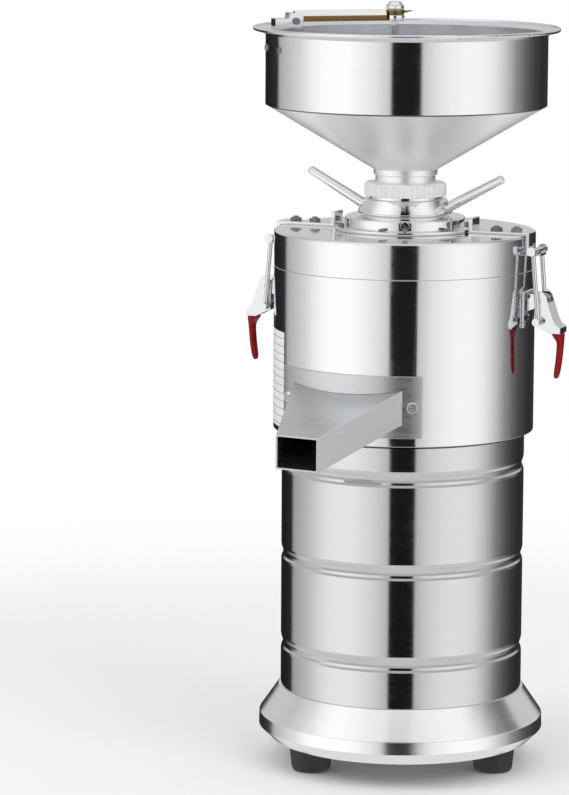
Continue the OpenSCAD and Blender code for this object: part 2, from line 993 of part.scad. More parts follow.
// The grooves that lead the nuts outward across a stone's face at height z
module stone_grooves(z) {
    for (i = [0 : groove_count - 1])
        rotate([0, 0, 360 * i / groove_count])
            translate([0, stone_eye / 3, z - groove_d])
                cube([stone_r + cut, groove_w, 2 * groove_d]);
}

module upper_stone() {
    color(stone)
        difference() {
            rotate_extrude()
                polygon([
                    [stone_eye, upper_z + stone_h],
                    [stone_eye, upper_z + 0.6 * stone_h],
                    [stone_r - stone_land, upper_z],
                    [stone_r, upper_z],
                    [stone_r, upper_z + stone_h]]);
            stone_grooves(upper_z);
            stone_screw_places()
                translate([0, 0, upper_z + stone_h - stone_screw_deep - cut])
                    cylinder(h = stone_screw_deep + 2 * cut, r = screw_r + run);
        }
}

module stone_screws() {
    color(dark_steel)
        stone_screw_places()
            translate([0, 0, upper_z + stone_h - stone_screw_deep]) {
                cylinder(h = stone_screw_deep + holder_t, r = screw_r);
                translate([0, 0, stone_screw_deep + holder_t])
                    cylinder(h = head_h, r = 2 * screw_r, $fn = 6);
            }
}

module lower_stone() {
    color(stone)
        difference() {
            rotate_extrude()
                polygon([
                    [shaft_r + run, stone_z],
                    [stone_r, stone_z],
                    [stone_r, stone_z + stone_h],
                    [stone_r - stone_land, stone_z + stone_h],
                    [stone_r - 2 * stone_land + 8, stone_z + 0.6 * stone_h],
                    [shaft_r + run, stone_z + 0.6 * stone_h]]);
            stone_grooves(stone_z + stone_h);
        }
}

module stone_nut() {
    washer_z = stone_z + 0.6 * stone_h;
    color(steel)
        difference() {
            union() {
                ring(stud_r, stud_r + 11, washer_z, washer_z + 2);
                translate([0, 0, washer_z + 2])
                    cylinder(h = 7, r = stud_r + 5.5, $fn = 6);
            }
            translate([0, 0, washer_z - cut])
                cylinder(h = 12, r = stud_r + run);
        }
}

module stone_carrier() {
    color(steel)
        rotate_extrude()
            polygon([
                [shaft_r + run, stone_z - carrier_t - carrier_hub_h],
                [shaft_r + 9, stone_z - carrier_t - carrier_hub_h],
                [shaft_r + 9, stone_z - carrier_t],
                [stone_r - 2, stone_z - carrier_t],
                [stone_r - 2, stone_z],
                [shaft_r + run, stone_z]]);
}

blade_count = 3;
blade_t = 5;
blade_lift = 4;
wiper_z = floor_z - floor_t + seal_h + 3;
wiper_top = stone_z - carrier_t - carrier_hub_h;

module wiper() {
    blade_r = shell_r - shell_t - 10;
    color(steel)
        difference() {
            union() {
                ring(shaft_r + run, shaft_r + 9, wiper_z, wiper_top);
                for (i = [0 : blade_count - 1])
                    rotate([0, 0, 360 * i / blade_count + 40]) {
                        translate([shaft_r + 5, -blade_t / 2, wiper_z])
                            cube([blade_r - shaft_r - 5, blade_t, 8]);
                        translate([house_r + 4, -blade_t / 2, floor_z + blade_lift])
                            cube([blade_r - house_r - 4, blade_t, wiper_z - floor_z - blade_lift + 8]);
                    }
            }
            translate([0, 0, wiper_z - cut])
                cylinder(h = wiper_top - wiper_z + 2 * cut, r = shaft_r + run);
        }
}

// ---- Hopper ----

spigot_in = spigot_r - 2;
flange_out = neck_r - 2;
spigot_flange_t = 4.5;
bead_r = spigot_r + 1.8;
bowl_in = bowl_r - hopper_t;
roll_x = bowl_r + lip_out;
roll_z = lip_z + lip_rise;

// How far the cone's sheet reaches along the radius and the height
cone_run = bowl_r - bead_r;
cone_tilt = atan(cone_h / cone_run);

module hopper() {
    color(bright)
        difference() {
            union() {
                rotate_extrude()
                    polygon([
                        [bowl_in, bowl_z],
                        [bowl_r, bowl_z],
                        [bowl_r, lip_z],
                        [roll_x, roll_z - hopper_t / 2],
                        [roll_x, roll_z + hopper_t / 2],
                        [bowl_in, lip_z + hopper_t]]);
                rotate_extrude()
                    translate([roll_x, roll_z])
                        circle(r = roll_r, $fn = 24);
            }
            bracket_rivet_places()
                bracket_rivet_hole();
        }
}

module hopper_cone() {
    color(bright)
        rotate_extrude()
            polygon([
                [spigot_in, neck_top],
                [flange_out, neck_top],
                [flange_out, neck_top + spigot_flange_t],
                [spigot_r, neck_top + spigot_flange_t],
                [spigot_r, cone_foot_z - 5.5],
                [bead_r, cone_foot_z - 4.5],
                [bead_r, cone_foot_z],
                [bowl_r, bowl_z],
                [bowl_r - hopper_t / sin(cone_tilt), bowl_z],
                [spigot_in, cone_foot_z + hopper_t / cos(cone_tilt)
                    - (bead_r - spigot_in) * tan(cone_tilt)]]);
}

module union_nut() {
    lip_t = 3;
    color(white)
        difference() {
            rotate_extrude()
                polygon([
                    [neck_r + play, nut_z],
                    [nut_r, nut_z],
                    [nut_r, nut_top - 2],
                    [nut_r - 2, nut_top],
                    [spigot_r + play, nut_top],
                    [spigot_r + play, nut_top - lip_t],
                    [neck_r + play, nut_top - lip_t]]);
            for (i = [0 : flute_count - 1])
                rotate([0, 0, 360 * i / flute_count])
                    translate([nut_r + 0.5, 0, nut_z - cut])
                        cylinder(h = nut_h + 2 * cut, r = 1.4, $fn = 16);
        }
}

// ---- Feed arm ----

ear_t = 2;
ear_gap = 0.4;
ear_in = arm_w / 2 + ear_gap;
ear_out = ear_in + ear_t;
bracket_low = lip_z + 1.5;
bracket_high = arm_z + 7.5;
pivot_r = 2.4;
pivot_head = 3.2;
stem_play = 0.08;
bar_z = arm_z + bar_up;
knob_z = bar_z + arm_h / 2;
bracket_rivet_r = 2;
pad_h = 20;
pad_half = 26;
rivet_reach = 8;

module at_arm() {
    rotate([0, 0, arm_turn])
        children();
}

module bracket_rivet_places() {
    for (side = [-1, 1])
        rotate([0, 0, arm_turn + side * 9])
            translate([0, 0, lip_z - 12])
                children();
}

module bracket_rivet_hole() {
    translate([bowl_in - rivet_reach, 0, 0])
        rotate([0, 90, 0])
            cylinder(h = 2 * rivet_reach, r = bracket_rivet_r + run);
}

module arm_bracket() {
    back_in = bowl_in - 3;
    nose = pivot_at - 7;
    color(bright)
        difference() {
            union() {
                at_arm() {
                    ring_piece(back_in, bowl_in, lip_z - pad_h, lip_z, pad_half);
                    ring_piece(back_in, bowl_in, lip_z - 2, bracket_high - 5, ear_out);
                    for (y0 = [-ear_out, ear_in])
                        plate([
                            [back_in + 1.5, lip_z - 12],
                            [back_in + 1.5, bracket_high - 5],
                            [pivot_at + 7, bracket_high - 5],
                            [pivot_at + 6, bracket_high],
                            [nose + 2, bracket_high],
                            [nose, bracket_high - 2],
                            [nose, bracket_low],
                            [pivot_at + 4, bracket_low]], y0, y0 + ear_t);
                }
            }
            at_arm()
                crossbar(pivot_at, arm_z, pivot_r + run, -ear_out - cut, ear_out + cut);
            bracket_rivet_places()
                bracket_rivet_hole();
        }
}

module bracket_screw() {
    color(dark_steel) {
        at_arm() {
            crossbar(pivot_at, arm_z, pivot_r, -ear_out, ear_out);
            crossbar(pivot_at, arm_z, pivot_head, ear_out, ear_out + 2);
            crossbar(pivot_at, arm_z, pivot_head, -ear_out - 2, -ear_out);
        }
        bracket_rivet_places()
            rotate([0, 90, 0]) {
                translate([0, 0, bowl_in - 3])
                    cylinder(h = 3 + hopper_t, r = bracket_rivet_r);
                translate([0, 0, bowl_r + 0.1])
                    cylinder(h = 1.5, r1 = 3.6, r2 = 2.4);
            }
    }
}

lock_nut_h = 5.5;

module feed_arm() {
    shoulder = rod_at + knob_r + 0.6;
    bevel = 0.3 * arm_w;
    color(brass)
        at_arm()
            difference() {
                union() {
                    translate([shoulder, 0, bar_z])
                        rotate([90, 0, 90])
                            linear_extrude(pivot_at - shoulder)
                                polygon([
                                    [-arm_w / 2, -arm_h / 2],
                                    [arm_w / 2, -arm_h / 2],
                                    [arm_w / 2, 0],
                                    [arm_w / 2 - bevel, arm_h / 2],
                                    [bevel - arm_w / 2, arm_h / 2],
                                    [-arm_w / 2, 0]]);
                    translate([rod_at, -arm_w / 2 + bevel, bar_z])
                        cube([shoulder + 1 - rod_at, arm_w - 2 * bevel, arm_h / 2]);
                    translate([rod_at, 0, bar_z])
                        cylinder(h = arm_h / 2, r = knob_r - 0.4);
                    crossbar(pivot_at, arm_z, arm_h / 2, -arm_w / 2, arm_w / 2);
                    translate([pivot_at - arm_h / 2, -arm_w / 2, arm_z])
                        cube([arm_h / 2, arm_w, bar_up]);
                    plate([
                        [rod_at - knob_r + 3, bar_z + 1],
                        [rod_at - knob_r + 3, bar_z + arm_h / 2 - 0.5],
                        [rod_at - knob_r - 8, bar_z + arm_h / 2 - 0.7],
                        [rod_at - knob_r - 8, bar_z + arm_h / 2 - 1.7]], -2, 2);
                }
                translate([rod_at, 0, bar_z - arm_h])
                    cylinder(h = 2 * arm_h, r = rod_r + stem_play);
                crossbar(pivot_at, arm_z, pivot_r + run, -arm_w, arm_w);
            }
}

module lock_nut() {
    color(bright)
        at_arm()
            translate([rod_at, 0, bar_z - lock_nut_h])
                difference() {
                    cylinder(h = lock_nut_h, r = knob_r);
                    translate([0, 0, -cut])
                        cylinder(h = lock_nut_h + 2 * cut, r = rod_r + stem_play);
                }
}

plug_z = cone_foot_z + 4;
rod_travel = 3.8;
rod_top = knob_z + knob_h - rod_travel - 2.4;

module regulating_rod() {
    color(steel)
        at_arm()
            translate([rod_at, 0, 0])
                rotate_extrude()
                    polygon([
                        [0, plug_z],
                        [0.45 * plug_r, plug_z],
                        [plug_r, plug_z + 5],
                        [plug_r, plug_z + 8],
                        [rod_r, plug_z + 14],
                        [rod_r, rod_top],
                        [0, rod_top]]);
}

module feed_knob() {
    color(bright)
        at_arm()
            translate([rod_at, 0, knob_z])
                difference() {
                    union() {
                        translate([0, 0, play])
                            cylinder(h = knob_h / 2, r = knob_r, $fn = 10);
                        translate([0, 0, play + knob_h / 2])
                            cylinder(h = knob_h / 2, r1 = knob_r - 0.6, r2 = knob_r - 3.2);
                    }
                    translate([0, 0, -cut])
                        cylinder(h = rod_top - knob_z + rod_travel + play + cut, r = rod_r + stem_play);
                }
}

// ---- Latches ----

lever_x = shell_r + lever_off;
lever_z = seam_z - lever_drop;
pin_r = 2.5;
lever_y1 = rod_side - bail_r - 0.4;
lever_y0 = lever_y1 - lever_t;
ear_y1 = lever_y0 - 0.4;
ear_y0 = ear_y1 - 1.6;
pin_x = shell_r + crossbar_off;
pin_z = seam_z + crossbar_rise;
eye_x = lever_x + 0.5;
eye_z = lever_z - bail_drop;
eye_r = bail_r - 0.25;
rod_tail = 2.6;
knuckle_r = 4;
base_plate_t = 2;
base_half = 15;
rivet_y = 12.4;
rivet_r = 1.5;
strap_out = shell_r + strap_t + 0.5;
strap_in = hub_flange_r + 1;
upstand_h = 14;
bolt_places = [for (share = [0.436, 0.782]) strap_in + share * (shell_r - strap_in)];

module at_latch(side) {
    rotate([0, 0, latch_turn + (side > 0 ? 0 : 180)])
        children();
}

module both_latches() {
    for (side = [-1, 1])
        at_latch(side)
            children();
}

module rivet_places() {
    for (side = [-1, 1], z = [lever_z + 3.5, lever_z - bail_drop - 1.5])
        rotate([0, 0, side * asin(rivet_y / shell_r)])
            translate([0, 0, z])
                children();
}

module rivet_hole() {
    translate([shell_r - 4 * shell_t, 0, 0])
        rotate([0, 90, 0])
            cylinder(h = 8 * shell_t, r = rivet_r + run);
}

module strap_bolt_places() {
    for (x = bolt_places)
        translate([x, 0, 0])
            children();
}

module catch_strap() {
    hook_low = pin_z - pin_r - play - 2;
    hook_out = pin_x + 5.8;
    difference() {
        union() {
            ring_piece(shell_r, strap_out, hook_low, lid_z + strap_t, strap_half);
            translate([strap_in, -strap_half, lid_z])
                cube([shell_r - strap_in + 1, 2 * strap_half, strap_t]);
            translate([strap_in, -strap_half, lid_z])
                cube([4, 2 * strap_half, upstand_h]);
            plate([
                [shell_r + 1.5, hook_low],
                [hook_out, hook_low],
                [hook_out, hook_low + 2.9],
                [hook_out - 1.2, hook_low + 2.9],
                [hook_out - 1.2, hook_low + 2],
                [shell_r + 1.5, hook_low + 2]], 1.5 - strap_half, strap_half - 1.5);
        }
        strap_bolt_places()
            translate([0, 0, lid_z - cut])
                cylinder(h = strap_t + 2 * cut, r = screw_r + run);
    }
}

module strap_right() {
    color(bright)
        at_latch(1)
            catch_strap();
}

module strap_left() {
    color(bright)
        at_latch(-1)
            catch_strap();
}

module strap_bolts() {
    color(steel)
        both_latches()
            strap_bolt_places()
                translate([0, 0, lid_z - shell_t - head_h]) {
                    cylinder(h = head_h, r = 2 * screw_r, $fn = 6);
                    cylinder(h = head_h + shell_t + strap_t, r = screw_r);
                    translate([0, 0, head_h + shell_t + strap_t])
                        cylinder(h = 4.5, r = 5.6, $fn = 6);
                }
}

module latch_base() {
    difference() {
        union() {
            ring_piece(shell_r, shell_r + base_plate_t, eye_z - 6, lever_z + 8, base_half);
            for (y0 = [-ear_y1, ear_y0]) {
                plate([
                    [shell_r + 1.4, lever_z - 10],
                    [lever_x, lever_z - 5.5],
                    [lever_x, lever_z + 5.5],
                    [shell_r + 1.4, lever_z + 6.5]], y0, y0 + ear_y1 - ear_y0);
                crossbar(lever_x, lever_z, 5.5, y0, y0 + ear_y1 - ear_y0);
            }
        }
        crossbar(lever_x, lever_z, pin_r + run, -base_half, base_half);
        rivet_places()
            rivet_hole();
    }
}

module latch_base_right() {
    color(steel)
        at_latch(1)
            latch_base();
}

module latch_base_left() {
    color(steel)
        at_latch(-1)
            latch_base();
}

module latch_rivets() {
    color(dark_steel)
        both_latches()
            rivet_places()
                translate([shell_r - shell_t - 1, 0, 0])
                    rotate([0, 90, 0]) {
                        cylinder(h = shell_t + base_plate_t + 1, r = rivet_r);
                        translate([0, 0, shell_t + base_plate_t + 1])
                            cylinder(h = 1.4, r1 = 2.8, r2 = 1.8);
                    }
}

module latch_pins() {
    color(steel)
        both_latches()
            crossbar(lever_x, lever_z, pin_r, -lever_y1, lever_y1);
}

// The lever's outer edge from its heel to the grip, and its whole outline, about its pivot
grip_z = -29;
web_edge = [[9, -0.9], [13.8, -15], [16.6, -20.5], [21, -23.4], [21, grip_z]];
lever_edge = concat(
    [[-3.8, 3], [-1, 9], [3, 9], [7, 5.5]],
    web_edge,
    [[11.5, grip_z], [1.4, -bail_drop - 5.5], [-3.8, -bail_drop - 3.5]]);

module toggle_lever() {
    difference() {
        translate([lever_x, 0, lever_z]) {
            for (y0 = [-lever_y1, lever_y0])
                plate(lever_edge, y0, y0 + lever_t);
            plate(concat(web_edge, [for (p = backwards(web_edge))
                [p.x - lever_t, max(p.y - 0.45 * lever_t, grip_z)]]),
                -lever_y0 - lever_t / 2, lever_y0 + lever_t / 2);
        }
        crossbar(lever_x, lever_z, pin_r + run, -base_half, base_half);
        crossbar(eye_x, eye_z, eye_r + run, -base_half, base_half);
    }
}

module coated_grip() {
    tip = grip_z - grip_len;
    waist = grip_z - 0.22 * grip_len;
    grip_half = 4.6;
    translate([lever_x, 0, lever_z])
        intersection() {
            plate([
                [21, grip_z],
                [21.4, waist],
                [20, grip_z - 0.6 * grip_len],
                [17.6, tip + 3],
                [16, tip],
                [13.6, tip],
                [12.8, tip + 4],
                [14.6, grip_z - 0.6 * grip_len],
                [15.6, waist],
                [11.5, grip_z]], -lever_y1, lever_y1);
            rotate([90, 0, 90])
                linear_extrude(lever_x)
                    polygon([
                        [-lever_y1, grip_z],
                        [-grip_half, waist],
                        [-grip_half, tip + 3],
                        [2 - grip_half, tip],
                        [grip_half - 2, tip],
                        [grip_half, tip + 3],
                        [grip_half, waist],
                        [lever_y1, grip_z]]);
        }
}

module bail() {
    lean = atan((eye_x - pin_x) / (pin_z - eye_z));
    rod_len = norm([eye_x - pin_x, pin_z - eye_z]);
    for (side = [-1, 1]) {
        translate([eye_x, side * rod_side, eye_z])
            rotate([0, -lean, 0])
                translate([0, 0, -rod_tail])
                    cylinder(h = rod_len + rod_tail, r = bail_r);
        crossbar(eye_x, eye_z, eye_r, side > 0 ? lever_y0 : -rod_side - 3,
            side > 0 ? rod_side + 3 : -lever_y0);
        for (end = [[eye_x, eye_z, knuckle_r - 0.4], [pin_x, pin_z, knuckle_r]])
            crossbar(end[0], end[1], end[2], side > 0 ? rod_side + 2.4 : -rod_side - 6,
                side > 0 ? rod_side + 6 : -rod_side - 2.4);
    }
    crossbar(pin_x, pin_z, pin_r, -rod_side - 4, rod_side + 4);
}

module lever_right() {
    color(bright)
        at_latch(1)
            toggle_lever();
}

module grip_right() {
    color(red)
        at_latch(1)
            coated_grip();
}

module bail_right() {
    color(steel)
        at_latch(1)
            bail();
}

module lever_left() {
    color(bright)
        at_latch(-1)
            toggle_lever();
}

module grip_left() {
    color(red)
        at_latch(-1)
            coated_grip();
}

module bail_left() {
    color(steel)
        at_latch(-1)
            bail();
}

base_skirt();
base_plate();
rubber_feet();
foot_screws();
motor_barrel();
lower_cap();
upper_cap();
tie_bolts();
stator_core();
stator_windings();
bearings();
chamber_floor();
shaft_seal();
chamber_shell();
chute();
chute_flange();
chute_screws();
lid();
lid_gasket();
hub_ring();
hub_screws();
guide_pins();
strap_right();
strap_left();
strap_bolts();
latch_base_right();
latch_base_left();
latch_rivets();
latch_pins();
switch_frame();
cord_gland();
motor_shaft();
rotor_core();
cooling_fan();
wiper();
stone_carrier();
lower_stone();
stone_nut();
adjusting_collar();
collar_retainer();
handle_bars();
stone_holder();
upper_stone();
stone_screws();
hopper();
hopper_cone();
arm_bracket();
bracket_screw();
union_nut();
feed_arm();
lock_nut();
regulating_rod();
feed_knob();
lever_right();
grip_right();
bail_right();
lever_left();
grip_left();
bail_left();
switch_rocker();
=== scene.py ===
import json
import math

import bmesh
import bpy
import numpy as np
from mathutils import Matrix, Vector

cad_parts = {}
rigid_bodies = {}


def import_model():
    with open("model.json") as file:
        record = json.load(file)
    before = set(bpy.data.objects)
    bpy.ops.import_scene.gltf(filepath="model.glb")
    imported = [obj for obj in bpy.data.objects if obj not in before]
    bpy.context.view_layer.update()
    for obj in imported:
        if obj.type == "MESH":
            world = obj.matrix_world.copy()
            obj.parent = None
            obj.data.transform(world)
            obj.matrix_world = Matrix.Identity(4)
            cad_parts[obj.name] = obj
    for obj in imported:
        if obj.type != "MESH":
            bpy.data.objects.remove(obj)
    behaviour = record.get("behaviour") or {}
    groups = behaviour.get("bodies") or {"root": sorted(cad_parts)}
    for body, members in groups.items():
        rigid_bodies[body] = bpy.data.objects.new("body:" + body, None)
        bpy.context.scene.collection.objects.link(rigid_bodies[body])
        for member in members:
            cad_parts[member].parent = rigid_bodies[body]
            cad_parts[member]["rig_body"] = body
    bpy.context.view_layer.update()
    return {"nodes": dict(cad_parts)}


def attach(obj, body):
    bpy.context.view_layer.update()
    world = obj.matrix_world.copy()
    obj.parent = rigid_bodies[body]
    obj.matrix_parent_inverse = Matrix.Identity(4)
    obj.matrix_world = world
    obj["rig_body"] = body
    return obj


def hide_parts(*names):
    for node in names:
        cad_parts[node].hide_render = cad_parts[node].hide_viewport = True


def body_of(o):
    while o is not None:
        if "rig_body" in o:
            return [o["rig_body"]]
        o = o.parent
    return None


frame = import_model()
nodes = frame["nodes"]

# Camera at the photograph's viewing angle, with the machine's axis right of the middle. Degrees and metres,
# lens and sensor in millimetres.
view = {"azimuth": 27.5, "distance": 3.492, "height": 0.8835, "pitch": 8.85, "yaw": 1.80,
        "roll": 0.3, "lens": 173.2, "sensor": 36}


def makeCamera():
    data = bpy.data.cameras.new("photoCamera")
    data.sensor_width = view["sensor"]
    data.lens = view["lens"]
    camera = bpy.data.objects.new("photoCamera", data)
    bpy.context.scene.collection.objects.link(camera)
    side, far = math.radians(view["azimuth"]), view["distance"]
    camera.location = (far * math.sin(side), -far * math.cos(side), view["height"])
    heading = Matrix.Rotation(side + math.radians(view["yaw"]), 4, "Z")
    tilt = Matrix.Rotation(math.radians(90 - view["pitch"]), 4, "X")
    roll = Matrix.Rotation(math.radians(view["roll"]), 4, "Z")
    camera.rotation_euler = (heading @ tilt @ roll).to_euler()
    bpy.context.scene.camera = camera


makeCamera()
bpy.context.scene.view_settings.view_transform = "Standard"

# Studio: a white surround, and around the machine the pale and dark panels that the steel mirrors.
# Each panel edge is an angle right of the camera's side, in degrees, and a brightness. The pairs are where
# a change of brightness starts and where it is whole: behindTurn in turns off the camera's side, the
# others from 0 level to 1 straight up (groundDown: straight down).
studio = {
    "ambient": 0.80,
    "ceiling": 0.95,
    "ground": 0.80,
    "backdrop": 0.62,
    "panels": [
        (-180, 0.03), (-160, 0.015), (-144, 0.02), (-131, 0.03), (-125, 0.48), (-108, 0.66), (-96, 0.8),
        (-84, 1.04), (-72, 1.18), (-60, 1.22), (-48, 1.2), (-36, 1.08), (-24, 0.92), (-13, 0.7),
        (-11.2, 0.012), (11.2, 0.012), (13, 0.66), (24, 0.9), (36, 1.04), (50, 1.12), (64, 1.1),
        (76, 0.96), (88, 0.66), (100, 0.32), (112, 0.15), (124, 0.07), (144, 0.03), (162, 0.035),
        (180, 0.03)],
    "behindTurn": (0.3, 0.4),
    "behindUp": (-0.05, 0.1),
    "bandLow": (0.09, 0.15),
    "bandHigh": (0.36, 0.44),
    "ceilingUp": (0.62, 0.9),
    "groundDown": (0.3, 0.55),
    "lampPower": 26,
    "lampSize": 2.2,
    "lampPlaces": [(-1.9, -2.3, 2.6), (2.6, -1.2, 2.4)],
    "lampAim": (0, 0, 0.3),
}


def link(tree, source, target):
    tree.links.new(source, target)


def feed(tree, value, socket):
    if isinstance(value, (int, float, tuple)):
        socket.default_value = value
    else:
        link(tree, value, socket)


def addNode(tree, kind, **values):
    made = tree.nodes.new(kind)
    for name, value in values.items():
        setattr(made, name, value)
    return made


def maths(tree, operation, first, second=None):
    made = addNode(tree, "ShaderNodeMath", operation=operation)
    feed(tree, first, made.inputs[0])
    if second is not None:
        feed(tree, second, made.inputs[1])
    return made.outputs[0]


def softStep(tree, value, low, high):
    made = addNode(tree, "ShaderNodeMapRange", interpolation_type="SMOOTHSTEP")
    link(tree, value, made.inputs["Value"])
    made.inputs["From Min"].default_value = low
    made.inputs["From Max"].default_value = high
    return made.outputs["Result"]


# The mix node keeps its pair of numbers at inputs 2 and 3, and its pair of colours at 6 and 7
def blendValues(tree, share, low, high):
    made = addNode(tree, "ShaderNodeMix", data_type="FLOAT")
    for value, socket in ((share, "Factor"), (low, 2), (high, 3)):
        feed(tree, value, made.inputs[socket])
    return made.outputs[0]


def blendColours(tree, share, first, second):
    made = addNode(tree, "ShaderNodeMix", data_type="RGBA")
    link(tree, share, made.inputs["Factor"])
    for colour, socket in ((first, 6), (second, 7)):
        feed(tree, (*colour, 1) if isinstance(colour, tuple) else colour, made.inputs[socket])
    return made.outputs[2]


def axesOf(tree, vector):
    split = addNode(tree, "ShaderNodeSeparateXYZ")
    link(tree, vector, split.inputs[0])
    return split.outputs


def panelLevel(tree, share):
    ramp = addNode(tree, "ShaderNodeValToRGB")
    link(tree, share, ramp.inputs[0])
    stops = ramp.color_ramp.elements
    while len(stops) > 1:
        stops.remove(stops[-1])
    for i, (angle, level) in enumerate(studio["panels"]):
        stop = stops[0] if i == 0 else stops.new((angle + 180) / 360)
        stop.position = (angle + 180) / 360
        stop.color = (level, level, level, 1)
    return ramp.outputs["Color"]


# How bright the surround is in each direction, as the steel mirrors it
def surroundLevel(tree):
    place = addNode(tree, "ShaderNodeTexCoord")
    east, north, up = axesOf(tree, place.outputs["Generated"])
    turn = maths(tree, "ARCTAN2", east, maths(tree, "MULTIPLY", north, -1))
    share = maths(tree, "FRACT", maths(tree, "ADD", maths(tree, "DIVIDE", turn, 2 * math.pi),
                                       0.5 - view["azimuth"] / 360 + 1))
    offSide = maths(tree, "ABSOLUTE", maths(tree, "SUBTRACT", share, 0.5))
    behind = maths(tree, "MULTIPLY", softStep(tree, offSide, *studio["behindTurn"]),
                   softStep(tree, up, *studio["behindUp"]))
    level = blendValues(tree, behind, panelLevel(tree, share), studio["backdrop"])
    band = maths(tree, "MULTIPLY", softStep(tree, up, *studio["bandLow"]),
                 maths(tree, "SUBTRACT", 1, softStep(tree, up, *studio["bandHigh"])))
    level = blendValues(tree, band, level, studio["backdrop"])
    level = blendValues(tree, softStep(tree, up, *studio["ceilingUp"]), level, studio["ceiling"])
    down = maths(tree, "MULTIPLY", up, -1)
    return blendValues(tree, softStep(tree, down, *studio["groundDown"]), level, studio["ground"])


def makeWorld():
    world = bpy.data.worlds.new("studioWorld")
    bpy.context.scene.world = world
    world.use_nodes = True
    tree = world.node_tree
    tree.nodes.clear()
    level = surroundLevel(tree)
    rays = addNode(tree, "ShaderNodeLightPath")
    mirrored = maths(tree, "MAXIMUM", rays.outputs["Is Glossy Ray"], rays.outputs["Is Transmission Ray"])
    lit = blendValues(tree, mirrored, studio["ambient"], level)
    shown = blendValues(tree, rays.outputs["Is Camera Ray"], lit, 1.0)
    background = addNode(tree, "ShaderNodeBackground")
    background.inputs["Color"].default_value = (1, 1, 1, 1)
    link(tree, shown, background.inputs["Strength"])
    output = addNode(tree, "ShaderNodeOutputWorld")
    link(tree, background.outputs[0], output.inputs[0])
    world.cycles.sampling_method = "NONE"


def makeLamps():
    for i, spot in enumerate(studio["lampPlaces"]):
        data = bpy.data.lights.new(f"softLamp{i}", "AREA")
        data.shape = "DISK"
        data.size = studio["lampSize"]
        data.energy = studio["lampPower"]
        lamp = bpy.data.objects.new(data.name, data)
        lamp.location = spot
        aim = Vector(studio["lampAim"]) - Vector(spot)
        lamp.rotation_euler = aim.to_track_quat("-Z", "Y").to_euler()
        lamp.visible_glossy = False
        bpy.context.scene.collection.objects.link(lamp)


def startMaterial(name):
    material = bpy.data.materials.new(name)
    material.use_nodes = True
    tree = material.node_tree
    return material, tree, tree.nodes["Principled BSDF"]


def meshFrom(bm, name):
    mesh = bpy.data.meshes.new(name)
    bm.to_mesh(mesh)
    bm.free()
    return mesh


# Pale paper that fades into the white surround, and that mirrors don't see. Metres.
floorSet = {"radius": 6.0, "sides": 96, "fadeFrom": 0.55, "fadeTo": 1.3, "colour": (0.93, 0.93, 0.93, 1),
            "rough": 0.9}


def makeFloor():
    bm = bmesh.new()
    bmesh.ops.create_circle(bm, cap_ends=True, segments=floorSet["sides"], radius=floorSet["radius"])
    mesh = meshFrom(bm, "studioFloor")
    floor = bpy.data.objects.new("studioFloor", mesh)
    bpy.context.scene.collection.objects.link(floor)
    material, tree, paper = startMaterial("palePaper")
    paper.inputs["Base Color"].default_value = floorSet["colour"]
    paper.inputs["Roughness"].default_value = floorSet["rough"]
    paper.inputs["Specular IOR Level"].default_value = 0
    place = addNode(tree, "ShaderNodeTexCoord")
    reach = addNode(tree, "ShaderNodeVectorMath", operation="LENGTH")
    link(tree, place.outputs["Object"], reach.inputs[0])
    fade = softStep(tree, reach.outputs["Value"], floorSet["fadeFrom"], floorSet["fadeTo"])
    rays = addNode(tree, "ShaderNodeLightPath")
    clear = maths(tree, "MAXIMUM", rays.outputs["Is Glossy Ray"],
                  maths(tree, "MULTIPLY", fade, rays.outputs["Is Camera Ray"]))
    through = addNode(tree, "ShaderNodeBsdfTransparent")
    mixed = addNode(tree, "ShaderNodeMixShader")
    link(tree, clear, mixed.inputs[0])
    link(tree, paper.outputs[0], mixed.inputs[1])
    link(tree, through.outputs[0], mixed.inputs[2])
    link(tree, mixed.outputs[0], tree.nodes["Material Output"].inputs["Surface"])
    mesh.materials.append(material)


makeWorld()
makeLamps()
makeFloor()
print("stage: camera, world, lamps and floor made")

# Shader node groups, each built once. A noise is given as its scale, detail and roughness, or without the
# scale where that is an input. Blend is the share of the second noise in the tone, and slope is how many
# turned lines go by outward for one upward.
turnedSet = {"wander": 9.0, "slope": 0.83, "coarse": (0.12, 4.0, 0.65), "fine": (1.0, 2.0, 0.5),
             "blend": 0.45}
straightSet = {"coarse": (0.2, 4.0, 0.6), "fine": (1.0, 2.0, 0.5), "blend": 0.5}
smudgeSet = {"scale": 14.0, "broad": (2.0, 0.5), "broadFrom": (0.42, 0.7), "finer": 5.3,
             "close": (4.0, 0.6), "closeFrom": (0.35, 0.75)}
speckleSet = {"fine": (3.0, 0.6), "coarser": 0.06, "broad": (3.0, 0.5), "blend": 0.4}


def startGroup(name, inputs, outputs):
    group = bpy.data.node_groups.new(name, "ShaderNodeTree")
    for label, kind, value in inputs:
        socket = group.interface.new_socket(label, in_out="INPUT", socket_type=kind)
        if value is not None:
            socket.default_value = value
    for label, kind in outputs:
        group.interface.new_socket(label, in_out="OUTPUT", socket_type=kind)
    return group, group.nodes.new("NodeGroupInput"), group.nodes.new("NodeGroupOutput")


def scaledNoise(tree, vector, scale, detail, roughness):
    made = addNode(tree, "ShaderNodeTexNoise")
    link(tree, vector, made.inputs["Vector"])
    for value, label in ((scale, "Scale"), (detail, "Detail"), (roughness, "Roughness")):
        feed(tree, value, made.inputs[label])
    return made.outputs[0]


def grainOutputs(group, vector, settings, last):
    coarse = scaledNoise(group, vector, *settings["coarse"])
    fine = scaledNoise(group, vector, *settings["fine"])
    link(group, blendValues(group, settings["blend"], coarse, fine), last.inputs["Tone"])
    link(group, fine, last.inputs["Height"])


toneAndHeight = [("Tone", "NodeSocketFloat"), ("Height", "NodeSocketFloat")]


